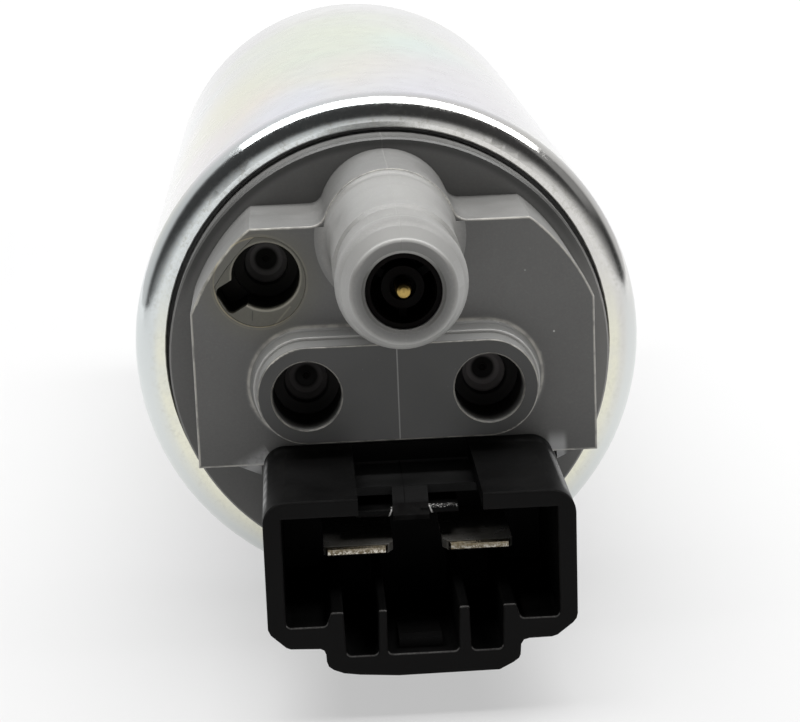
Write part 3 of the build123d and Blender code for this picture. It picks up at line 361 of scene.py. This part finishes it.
def black_plastic(name):
    s = Shader(name)
    cloud = s.noise(0.35, 3.0, 0.6)
    grain = s.noise(6.0, 4.0, 0.6)
    col = s.ramp(cloud, [(0.3, (0.0026, 0.0026, 0.0026)), (0.7, (0.0042, 0.0041, 0.0041))])
    col = s.mix(s.span(grain, 0.5, 0.8, 0.0, 0.3), col, (0.014, 0.0135, 0.0135))
    # edges painted a little paler: partly rubbed wear, partly a painted sheen on their rounding
    rim = s.math("MULTIPLY", s.edge(1), s.span(s.noise(1.0, 3.0), 0.35, 0.65, 0.25, 1.0))
    col = s.mix(s.math("MULTIPLY", rim, 0.10), col, (0.06, 0.058, 0.056))
    # painted highlight along the front lip of the floors and rib tops
    up = s.both(s.span(s.naxis(2), 0.2, 0.45), s.span(s.naxis(1), -0.25, -0.4), s.span(s.axis(1), -26.7, -26.8), s.span(s.axis(2), -11.0, -11.5))
    col = s.mix(s.math("MULTIPLY", s.math("MULTIPLY", up, s.span(grain, 0.3, 0.6, 0.5, 1.0)), 0.6), col, (0.17, 0.165, 0.16))
    # the ledge behind the roof's slot, painted lighter towards its back: painted light where it lies in shade
    ledge = s.both(s.within(0, -3.4, 5.0, 0.1), s.within(1, -20.6, -13.3, 0.2), s.within(2, -6.3, -5.3, 0.1))
    ledge_painted_light = s.mix(s.span(s.axis(1), -18.5, -14.5), (0.013, 0.013, 0.013), (0.05, 0.05, 0.05))
    col = s.mix(s.math("MULTIPLY", ledge, s.span(cloud, 0.35, 0.6, 0.7, 1.0)), col, ledge_painted_light)
    col = s.mix(s.math("MULTIPLY", s.both(ledge, s.near(0, 0.0, 0.07)), 0.8), col, (0.002, 0.002, 0.002))
    # painted highlights streaking the roof's corners and a painted sheen along its back
    left = s.both(s.within(0, -10.1, -9.62, 0.22), s.within(1, -24.5, -15.0, 2.0), s.within(2, -7.0, -4.0, 0.5), s.span(s.noise(0.8, 3.0), 0.35, 0.62, 0.3, 1.0))
    right = s.both(s.within(0, 10.75, 11.4, 0.35), s.within(1, -24.5, -17.0, 2.0), s.within(2, -6.6, -4.0, 0.5))
    back = s.both(s.within(1, -14.4, -13.7, 0.35), s.within(2, -4.1, -3.5, 0.1), s.span(s.noise(0.7, 2.0), 0.4, 0.6))
    for m, g, c in ((left, 0.85, 0.24), (right, 0.75, 0.16), (back, 0.6, 0.03)):
        col = s.mix(s.math("MULTIPLY", m, g), col, (c, c, c))
    # the connector's front face painted lighter than the rest: painted light
    facing = s.both(s.span(s.naxis(1), -0.7, -0.95), s.span(s.axis(1), -26.5, -26.8))
    col = s.mix(s.math("MULTIPLY", facing, 0.8), col, (0.0085, 0.0082, 0.0081))
    # broken flecks painted bright where the lips meet the wedge: painted glints
    bits = s.span(s.noise(8.0, 3.0, 0.6), 0.55, 0.63)
    part = s.span(s.noise(5.0, 2.0, 0.5), 0.38, 0.58, 0.2, 1.0)
    tip = s.within(1, -21.2, -20.1, 0.1)
    for x0, z0, x1, z1, w, broken in ((-0.90, -6.60, -1.12, -7.15, 0.08, False), (1.68, -6.55, 1.86, -7.05, 0.09, False), (1.80, -6.60, 3.65, -6.66, 0.12, True)):
        fleck = s.both(s.stroke(x0, z0, x1, z1, w), tip)
        col = s.mix(s.math("MULTIPLY", fleck, bits if broken else part), col, (0.72, 0.71, 0.69))
    s.bump(grain, 0.008, 0.35)
    s.set(color=col, rough=s.mix(s.edge(1, 0.15, 0.4), s.span(cloud, 0.3, 0.7, 0.42, 0.52), (0.75, 0.75, 0.75)), spec=0.05)
    return s.done()


def zinc(name):
    """Zinc plate with a clear chromate film: pale, tinted in soft patches."""
    s = Shader(name)
    off = s.math("ABSOLUTE", s.math("SUBTRACT", s.axis(1), 41.0))
    rim = s.span(off, 38.2, 39.4)
    flat = s.math("MULTIPLY", s.span(off, 40.6, 40.9), s.span(s.math("ABSOLUTE", s.naxis(1)), 0.8, 0.98))
    wander = s.noise(0.05, 2.0, 0.5, distortion=0.4)
    tint = s.ramp(wander, [(0.30, (0.80, 0.82, 0.76)), (0.42, (0.82, 0.82, 0.78)), (0.50, (0.82, 0.82, 0.83)), (0.60, (0.82, 0.79, 0.82)), (0.72, (0.78, 0.82, 0.82))])
    for at, r0, r1, c, k in (((-3.0, 46.0, 19.0), 2.0, 17.0, (0.80, 0.87, 0.68), 0.75), ((-13.0, 30.0, 14.5), 1.0, 10.0, (0.88, 0.86, 0.62), 0.75),
                             ((5.5, 40.0, 18.7), 0.5, 7.0, (0.72, 0.92, 0.85), 0.6), ((-9.0, 15.0, 17.0), 0.5, 6.0, (0.92, 0.82, 0.72), 0.6),
                             ((0.0, 17.0, 19.5), 1.0, 7.0, (0.89, 0.85, 0.74), 0.55), ((4.0, 6.0, 19.0), 1.0, 8.0, (0.82, 0.83, 0.93), 0.5),
                             ((-7.0, 7.5, 18.0), 1.0, 6.0, (0.80, 0.84, 0.95), 0.55), ((-14.0, 12.0, 13.5), 0.5, 6.0, (0.90, 0.80, 0.86), 0.5),
                             ((9.0, 20.0, 17.3), 2.0, 12.0, (0.82, 0.80, 0.84), 0.6)):
        tint = s.mix(s.math("MULTIPLY", s.blob(at, r0, r1, 0.4), k), tint, c)
    # painted highlight: paler towards the far end and where the flank turns away
    turning = s.t.nodes.new("ShaderNodeLayerWeight")
    turning.inputs["Blend"].default_value = 0.5
    painted_fade = s.math("MAXIMUM", s.span(s.axis(1), 64.0, 82.0, 0.0, 0.8), s.span(turning.outputs["Facing"], 0.87, 0.99, 0.0, 0.8))
    tint = s.mix(painted_fade, tint, (0.985, 0.985, 0.985))
    mottle = s.noise(0.55, 5.0, 0.62)
    col = s.mix(s.span(mottle, 0.5, 0.8, 0.0, 0.05), tint, (0.70, 0.70, 0.68))
    # the rolled rim: greenish and reddish greys, and stained blotches on its flat lip
    left = s.span(s.axis(0), -6.0, 6.0, 1.0, 0.0)
    rc = s.mix(left, (0.67, 0.66, 0.64), (0.66, 0.695, 0.70))
    rc = s.mix(s.span(s.axis(2), 4.0, -12.0), rc, (0.72, 0.73, 0.675))
    high = s.span(s.axis(2), 3.0, 11.0)
    turn = s.math("ADD", s.math("MULTIPLY", s.span(off, 39.0, 40.3), high), s.math("MULTIPLY", rim, s.span(s.axis(2), 3.0, 11.0, 1.0, 0.0)))
    col = s.mix(turn, col, rc)
    lower = s.span(s.axis(2), 7.0, -1.0)
    patchy = s.span(s.noise(0.5, 3.0), 0.25, 0.6, 0.6, 1.0)
    inner = s.both(s.disc(0.0, 0.0, 17.55, 0.7), rim, lower, patchy)
    col = s.mix(s.math("MULTIPLY", inner, 0.85), col, (0.80, 0.79, 0.65))
    outer = s.both(s.math("SUBTRACT", 1.0, s.disc(0.0, 0.0, 18.1, 0.7)), rim, lower)
    col = s.mix(s.math("MULTIPLY", outer, 0.75), col, (0.675, 0.705, 0.705))
    spots = s.noise(0.9, 4.0, 0.7)
    fleck = s.noise(3.4, 3.0, 0.6)
    stain = s.math("MULTIPLY", s.span(spots, 0.46, 0.70), s.span(fleck, 0.35, 0.62))
    top = s.span(s.axis(2), 2.0, 12.0, 0.25, 1.0)
    col = s.mix(s.math("MULTIPLY", s.both(flat, stain, top), 0.55), col, (0.34, 0.33, 0.29))
    col = s.mix(s.math("MULTIPLY", flat, s.span(fleck, 0.4, 0.75, 0.0, 0.25)), col, (0.66, 0.65, 0.57))
    col = s.mix(s.math("MULTIPLY", rim, s.span(fleck, 0.60, 0.8, 0.0, 0.15)), col, (0.6, 0.59, 0.56))
    # faint draw marks along the tube, a fine bloom on the film
    draw = s.noise(0.9, 2.0, 0.5, vec=s.stretch(1.6, 0.04, 1.6))
    s.bump(draw, 0.0002, 0.3)
    s.bump(s.math("MULTIPLY", spots, flat), 0.012, 0.25)
    rough = s.mix(rim, s.span(mottle, 0.35, 0.7, 0.27, 0.32), s.span(fleck, 0.35, 0.7, 0.10, 0.16))
    rough = s.mix(flat, rough, s.span(fleck, 0.35, 0.7, 0.10, 0.20))
    s.set(color=col, rough=rough, metal=1.0)
    return s.done()


def metal(name, base, alt, rough=(0.25, 0.4), lines=None, grain=3.0, depth=0.005):
    s = Shader(name)
    cloud = s.noise(0.6, 4.0, 0.6)
    fine = s.noise(grain, 4.0, 0.65, vec=s.stretch(*lines) if lines else None)
    col = s.mix(s.span(cloud, 0.35, 0.7), base, alt)
    col = s.mix(s.span(fine, 0.5, 0.8, 0.0, 0.35), col, tuple(c * 0.55 for c in alt))
    s.bump(fine, depth, 0.5)
    s.set(color=col, rough=s.span(cloud, 0.3, 0.7, *rough), metal=1.0)
    return s.done()


def pin_brass(name):
    """Turned brass, its upper side painted dark: painted shade under the sleeve."""
    s = Shader(name)
    cloud = s.noise(1.2, 4.0, 0.6)
    fine = s.noise(5.0, 4.0, 0.65)
    col = s.mix(s.span(cloud, 0.35, 0.7), (0.44, 0.31, 0.10), (0.34, 0.24, 0.08))
    col = s.mix(s.span(fine, 0.5, 0.8, 0.0, 0.4), col, (0.17, 0.12, 0.04))
    # painted shade over the pin's upper side
    col = s.mix(s.span(s.axis(2), 11.0, 11.42, 0.0, 0.85), col, (0.05, 0.036, 0.015))
    s.bump(fine, 0.005, 0.5)
    s.set(color=col, rough=s.span(cloud, 0.3, 0.7, 0.28, 0.42), metal=1.0)
    return s.done()


def tinned(name):
    """Tin over brass: mottled, browned near the sheared tip, whose face carries a painted highlight, brighter on the
    left blade, with painted shade along its top.
    """
    s = Shader(name)
    cloud = s.noise(1.4, 4.0, 0.65)
    fine = s.noise(9.0, 3.0, 0.6)
    col = s.ramp(cloud, [(0.3, (0.34, 0.31, 0.26)), (0.5, (0.52, 0.50, 0.46)), (0.7, (0.74, 0.73, 0.71))])
    tip = s.span(s.axis(1), -21.9, -22.3)
    # painted highlight on the tip's face, brighter on the left blade; painted shade along its top
    bright = s.mix(s.span(s.axis(0), 0.0, 1.0), (0.70, 0.66, 0.58), (0.45, 0.43, 0.38))
    brown = s.mix(s.span(s.noise(6.5, 3.0, 0.7), 0.42, 0.60), (0.10, 0.075, 0.035), bright)
    brown = s.mix(s.span(s.axis(2), -9.12, -8.95, 0.0, 0.75), brown, (0.13, 0.10, 0.05))
    col = s.mix(s.math("MULTIPLY", tip, 0.92), col, brown)
    # darker and less metallic behind the tip
    behind_tip = s.span(s.axis(1), -22.2, -21.8)
    col = s.mix(s.math("MULTIPLY", behind_tip, 0.92), col, (0.05, 0.048, 0.044))
    s.bump(fine, 0.006, 0.5)
    s.bump(cloud, 0.02, 0.3)
    s.set(color=col, rough=s.span(cloud, 0.3, 0.7, 0.42, 0.26), metal=s.span(s.axis(1), -22.2, -21.8, 1.0, 0.35))
    return s.done()


def matt(name, base, alt, rough=(0.5, 0.7), grain=4.0, depth=0.02, spec=0.5):
    s = Shader(name)
    cloud = s.noise(0.5, 3.0, 0.6)
    fine = s.noise(grain, 4.0, 0.7)
    col = s.mix(s.span(cloud, 0.3, 0.7), base, alt)
    col = s.mix(s.span(fine, 0.5, 0.8, 0.0, 0.4), col, tuple(min(1.0, c * 1.7) for c in alt))
    s.bump(fine, depth, 0.5)
    s.set(color=col, rough=s.span(cloud, 0.3, 0.7, *rough), spec=spec)
    return s.done()


def wound(name):
    """Enamelled copper wire, laid along the pump axis."""
    s = Shader(name)
    wire = s.noise(1.0, 2.0, 0.5, vec=s.stretch(5.0, 0.2, 5.0))
    cloud = s.noise(0.8, 3.0)
    col = s.ramp(wire, [(0.35, (0.18, 0.05, 0.015)), (0.55, (0.50, 0.17, 0.06)), (0.75, (0.72, 0.33, 0.16))])
    s.bump(wire, 0.08, 0.7)
    s.set(color=col, rough=s.span(cloud, 0.3, 0.7, 0.2, 0.35), metal=0.85)
    return s.done()


M = {
    "cap": grey_plastic("grey_moulding"),
    # the nipple takes the grey moulding at a lighter tone: painted light
    "nipple": grey_plastic("grey_nipple", tone=0.21, seam=0.05, wear_and_sheen=0.08, plug=False, face=False, rough=(0.36, 0.46)),
    "plug": plug_plastic("grey_plug"),
    "cover": grey_plastic("grey_cover", tone=0.12, seam=0.2, plug=False, face=False),
    "black": black_plastic("black_moulding"),
    "zinc": zinc("zinc_plate"),
    "tin": tinned("tinned_blade"),
    "brass": pin_brass("turned_brass"),
    "spring": metal("spring_wire", (0.55, 0.55, 0.56), (0.38, 0.38, 0.39), (0.2, 0.35)),
    "ground": metal("ground_steel", (0.66, 0.66, 0.67), (0.52, 0.52, 0.53), (0.14, 0.28), lines=(1.0, 6.0, 1.0)),
    "sinter": metal("sintered_iron", (0.24, 0.23, 0.22), (0.16, 0.155, 0.15), (0.5, 0.7), grain=7.0, depth=0.02),
    "cast": metal("cast_alloy", (0.58, 0.59, 0.60), (0.46, 0.47, 0.48), (0.4, 0.6), grain=5.0, depth=0.02),
    "lams": metal("laminations", (0.36, 0.36, 0.38), (0.24, 0.24, 0.26), (0.35, 0.5), lines=(0.3, 9.0, 0.3), grain=1.0, depth=0.03),
    "copper": metal("copper_bar", (0.74, 0.36, 0.20), (0.50, 0.22, 0.12), (0.25, 0.45), grain=4.0),
    "bronze": metal("sintered_bronze", (0.46, 0.31, 0.15), (0.34, 0.22, 0.11), (0.45, 0.65), grain=7.0, depth=0.02),
    "wire": wound("enamelled_wire"),
    "resin": matt("brown_resin", (0.09, 0.035, 0.015), (0.14, 0.06, 0.03)),
    "sleeve": matt("dark_sleeve", (0.0012, 0.0009, 0.0008), (0.0026, 0.0016, 0.0013), (0.45, 0.6), depth=0.006, spec=0.05),
    "rubber": matt("black_rubber", (0.012, 0.012, 0.012), (0.02, 0.02, 0.02), (0.55, 0.75)),
    "seal": matt("green_rubber", (0.03, 0.08, 0.05), (0.05, 0.11, 0.07), (0.5, 0.7)),
    "ferrite": matt("ferrite", (0.022, 0.022, 0.023), (0.035, 0.034, 0.034), (0.45, 0.65), grain=6.0),
    "graphite": matt("graphite", (0.03, 0.03, 0.032), (0.05, 0.05, 0.052), (0.35, 0.55), grain=6.0),
}

WEARS = {
    "case_tube": "zinc", "flux_ring": "zinc", "outlet_end_cap": "cap", "outlet_nipple": "nipple", "relief_valve_plug": "plug", "inlet_cover": "cover",
    "connector_shroud": "black", "terminal_left": "tin", "terminal_right": "tin",
    "relief_valve_ball": "ground", "relief_valve_spring": "spring", "check_valve_seal": "seal", "check_valve_poppet": "brass",
    "check_valve_cage": "sleeve", "check_valve_spring": "spring",
    "choke_core_left": "sinter", "choke_core_right": "sinter", "choke_winding_left": "wire", "choke_winding_right": "wire",
    "brush_left": "graphite", "brush_right": "graphite", "brush_spring_left": "spring", "brush_spring_right": "spring",
    "brush_lead_left": "copper", "brush_lead_right": "copper", "top_bush": "bronze", "bottom_bush": "bronze",
    "armature_shaft": "ground", "commutator_hub": "resin", "commutator_segments": "copper", "lamination_stack": "lams",
    "armature_windings": "wire", "thrust_washer": "resin", "magnet_left": "ferrite", "magnet_right": "ferrite",
    "magnet_clip_upper": "spring", "magnet_clip_lower": "spring", "pump_outlet_plate": "cast", "rotor_ring": "sinter",
    "inner_gear": "sinter", "outer_gear": "sinter", "pump_inlet_plate": "cast", "cap_seal": "rubber", "inlet_seal": "rubber",
}
for node, obj in NODES.items():
    want = M[WEARS[node]]
    if not obj.material_slots:
        obj.data.materials.append(want)
    for k in range(len(obj.material_slots)):
        obj.material_slots[k].material = want


# ------------------------------------------------------------ springs, copied as coils carried by the pump body

for node, joint, fixed, travel in (("check_valve_spring", "check_valve_lift", -0.02775, 0.0010), ("relief_valve_spring", "relief_valve_lift", -0.00295, 0.0010),
                                   ("brush_spring_left", "brush_left_feed", -0.00715, 0.0015), ("brush_spring_right", "brush_right_feed", -0.00715, 0.0015)):
    coil = bpy.data.objects.new(node + "_coil", NODES[node].data.copy())
    bpy.context.scene.collection.objects.link(coil)
    coil.matrix_world = NODES[node].matrix_world.copy()
    for k in range(len(coil.material_slots)):
        coil.material_slots[k].material = M["spring"]
    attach(coil, "pump_body")
    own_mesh(coil)
    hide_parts(node)


# ------------------------------------------------------------ floor, light, camera

FLOOR_Z = -0.0195


def floor_material():
    s = Shader("pale_floor")
    cloud = s.noise(0.02, 3.0)
    fine = s.noise(0.8, 3.0)
    s.bump(fine, 0.01, 0.2)
    s.set(color=s.ramp(cloud, [(0.3, (0.245, 0.245, 0.245)), (0.7, (0.255, 0.255, 0.255))]), rough=s.span(cloud, 0.3, 0.7, 0.7, 0.8), spec=0.2)
    far = s.t.nodes.new("ShaderNodeVectorMath")
    far.operation = "LENGTH"
    s.t.links.new(s.mm, far.inputs[0])
    s.p.inputs["Emission Color"].default_value = (1.0, 1.0, 1.0, 1.0)
    back = s.math("MULTIPLY", s.span(far.outputs["Value"], 150.0, 800.0, 0.0, 0.28), s.span(s.axis(1), -80.0, 120.0))
    ahead = s.span(s.axis(1), -110.0, -260.0, 0.495, 0.63)
    glow = s.math("ADD", back, ahead)
    s.link(glow, s.p.inputs["Emission Strength"])
    return s.done()


mesh = bpy.data.meshes.new("floor")
F = 4.0
mesh.from_pydata([(-F, -F, FLOOR_Z), (F, -F, FLOOR_Z), (F, F, FLOOR_Z), (-F, F, FLOOR_Z)], [], [(0, 1, 2, 3)])
floor = bpy.data.objects.new("floor", mesh)
bpy.context.scene.collection.objects.link(floor)
floor.data.materials.append(floor_material())

world = bpy.data.worlds.new("studio")
bpy.context.scene.world = world
world.use_nodes = True
wt = world.node_tree
bg = wt.nodes["Background"]
# a pale room behind the part, falling off to the sides; the front is unlit, but
# the camera still sees an even white backdrop
wc = wt.nodes.new("ShaderNodeTexCoord")
flatten = wt.nodes.new("ShaderNodeVectorMath")
flatten.operation = "MULTIPLY"
flatten.inputs[1].default_value = (1.0, 1.0, 0.0)
wt.links.new(wc.outputs["Generated"], flatten.inputs[0])
unit = wt.nodes.new("ShaderNodeVectorMath")
unit.operation = "NORMALIZE"
wt.links.new(flatten.outputs[0], unit.inputs[0])
parts = wt.nodes.new("ShaderNodeSeparateXYZ")
wt.links.new(unit.outputs[0], parts.inputs[0])
lift = wt.nodes.new("ShaderNodeMapRange")
lift.inputs[1].default_value = -1.0
lift.inputs[2].default_value = 1.0
wt.links.new(parts.outputs[1], lift.inputs[0])
wr = wt.nodes.new("ShaderNodeValToRGB")
stops = [(0.0, 0.045), (0.44, 0.055), (0.48, 0.10), (0.53, 0.20), (0.60, 0.56), (0.68, 0.68), (0.86, 0.74), (1.0, 0.80)]
e = wr.color_ramp.elements
while len(e) < len(stops):
    e.new(0.5)
for k, (pos, v) in zip(e, stops):
    k.position = pos
    k.color = (v, v, v, 1.0)
lean = wt.nodes.new("ShaderNodeMath")
lean.operation = "MULTIPLY_ADD"
lean.inputs[1].default_value = -0.06
wt.links.new(parts.outputs[0], lean.inputs[0])
wt.links.new(lift.outputs[0], lean.inputs[2])
wt.links.new(lean.outputs[0], wr.inputs[0])
lp = wt.nodes.new("ShaderNodeLightPath")
wm = wt.nodes.new("ShaderNodeMix")
wm.data_type = "RGBA"
wt.links.new(lp.outputs["Is Camera Ray"], wm.inputs[0])
high = wt.nodes.new("ShaderNodeSeparateXYZ")
wt.links.new(wc.outputs["Generated"], high.inputs[0])
glow = wt.nodes.new("ShaderNodeValToRGB")
e = glow.color_ramp.elements
fall = [(0.0, 0.80), (0.05, 0.70), (0.12, 0.47), (0.21, 0.27), (0.28, 0.08), (0.40, 0.0)]
while len(e) < len(fall):
    e.new(0.5)
for k, (pos, v) in zip(e, fall):
    k.position = pos
    k.color = (v, v, v, 1.0)
# lower on the left
west = wt.nodes.new("ShaderNodeMath")
west.operation = "MINIMUM"
wt.links.new(parts.outputs[0], west.inputs[0])
west.inputs[1].default_value = 0.0
tilt = wt.nodes.new("ShaderNodeMath")
tilt.operation = "MULTIPLY_ADD"
wt.links.new(west.outputs[0], tilt.inputs[0])
tilt.inputs[1].default_value = -0.08
wt.links.new(high.outputs[2], tilt.inputs[2])
wt.links.new(tilt.outputs[0], glow.inputs[0])
front = wt.nodes.new("ShaderNodeMapRange")
front.inputs[1].default_value = -0.17
front.inputs[2].default_value = -0.82
front.inputs[3].default_value = 0.0
front.inputs[4].default_value = 1.0
wt.links.new(parts.outputs[1], front.inputs[0])
gm = wt.nodes.new("ShaderNodeMath")
gm.operation = "MULTIPLY"
wt.links.new(glow.outputs[0], gm.inputs[0])
wt.links.new(front.outputs[0], gm.inputs[1])
add = wt.nodes.new("ShaderNodeMix")
add.data_type = "RGBA"
add.blend_type = "ADD"
add.inputs[0].default_value = 1.0
wt.links.new(wr.outputs[0], add.inputs[6])
wt.links.new(gm.outputs[0], add.inputs[7])
# a pale patch to the right of the front, such as a window
side = wt.nodes.new("ShaderNodeMapRange")
side.interpolation_type = "SMOOTHSTEP"
side.inputs[1].default_value = 0.84
side.inputs[2].default_value = 0.92
wt.links.new(parts.outputs[0], side.inputs[0])
low = wt.nodes.new("ShaderNodeMapRange")
low.interpolation_type = "SMOOTHSTEP"
low.inputs[1].default_value = 0.24
low.inputs[2].default_value = 0.42
wt.links.new(high.outputs[2], low.inputs[0])
brow = wt.nodes.new("ShaderNodeMapRange")
brow.interpolation_type = "SMOOTHSTEP"
brow.inputs[1].default_value = 0.60
brow.inputs[2].default_value = 0.75
brow.inputs[3].default_value = 0.24
brow.inputs[4].default_value = 0.0
wt.links.new(high.outputs[2], brow.inputs[0])
ahead = wt.nodes.new("ShaderNodeMapRange")
ahead.inputs[1].default_value = 0.25
ahead.inputs[2].default_value = 0.0
wt.links.new(parts.outputs[1], ahead.inputs[0])
patch = side.outputs[0]
for other in (low, brow, ahead):
    pm = wt.nodes.new("ShaderNodeMath")
    pm.operation = "MULTIPLY"
    wt.links.new(patch, pm.inputs[0])
    wt.links.new(other.outputs[0], pm.inputs[1])
    patch = pm.outputs[0]
both = wt.nodes.new("ShaderNodeMix")
both.data_type = "RGBA"
both.blend_type = "ADD"
both.inputs[0].default_value = 1.0
wt.links.new(add.outputs[2], both.inputs[6])
wt.links.new(patch, both.inputs[7])
wt.links.new(both.outputs[2], wm.inputs[6])
wm.inputs[7].default_value = (1.0, 1.0, 1.0, 1.0)
wt.links.new(wm.outputs[2], bg.inputs[0])
bg.inputs[1].default_value = 1.0


def area(name, at, look, size, power, color=(1, 1, 1)):
    d = bpy.data.lights.new(name, "AREA")
    d.shape = "RECTANGLE"
    d.size, d.size_y = size
    d.energy = power
    d.color = color
    o = bpy.data.objects.new(name, d)
    o.location = at
    o.rotation_euler = (Vector(look) - Vector(at)).to_track_quat("-Z", "Y").to_euler()
    o.visible_camera = False
    bpy.context.scene.collection.objects.link(o)
    return o


area("overhead", (0.14, 0.115, 1.0), (0.14, 0.115, 0.0), (1.9, 0.66), 25.5)

# camera, from the photograph's perspective
F_PX, ELEV, AZIM, ROLL, TX, TY, DEPTH = 2400.1, 0.234212, 0.039436, -0.038979, -0.88964, 1.0311, 184.80681
fwd = Vector((math.sin(AZIM) * math.cos(ELEV), math.cos(AZIM) * math.cos(ELEV), -math.sin(ELEV)))
r0 = Vector((math.cos(AZIM), -math.sin(AZIM), 0.0))
u0 = r0.cross(fwd)
right = r0 * math.cos(ROLL) + u0 * math.sin(ROLL)
up = u0 * math.cos(ROLL) - r0 * math.sin(ROLL)
place = -(right * TX + up * TY + fwd * DEPTH) * 0.001
cd = bpy.data.cameras.new("camera")
cd.sensor_fit = "HORIZONTAL"
cd.sensor_width = 36.0
cd.lens = F_PX / 800.0 * 36.0
cd.clip_start = 0.01
cd.clip_end = 20.0
cam = bpy.data.objects.new("camera", cd)
bpy.context.scene.collection.objects.link(cam)
rot = Matrix((right, up, -fwd)).transposed()
cam.matrix_world = Matrix.Translation(place) @ rot.to_4x4()
bpy.context.scene.camera = cam

vs = bpy.context.scene.view_settings
vs.view_transform = "Standard"
vs.look = "None"
vs.exposure = 0.0
vs.gamma = 1.0
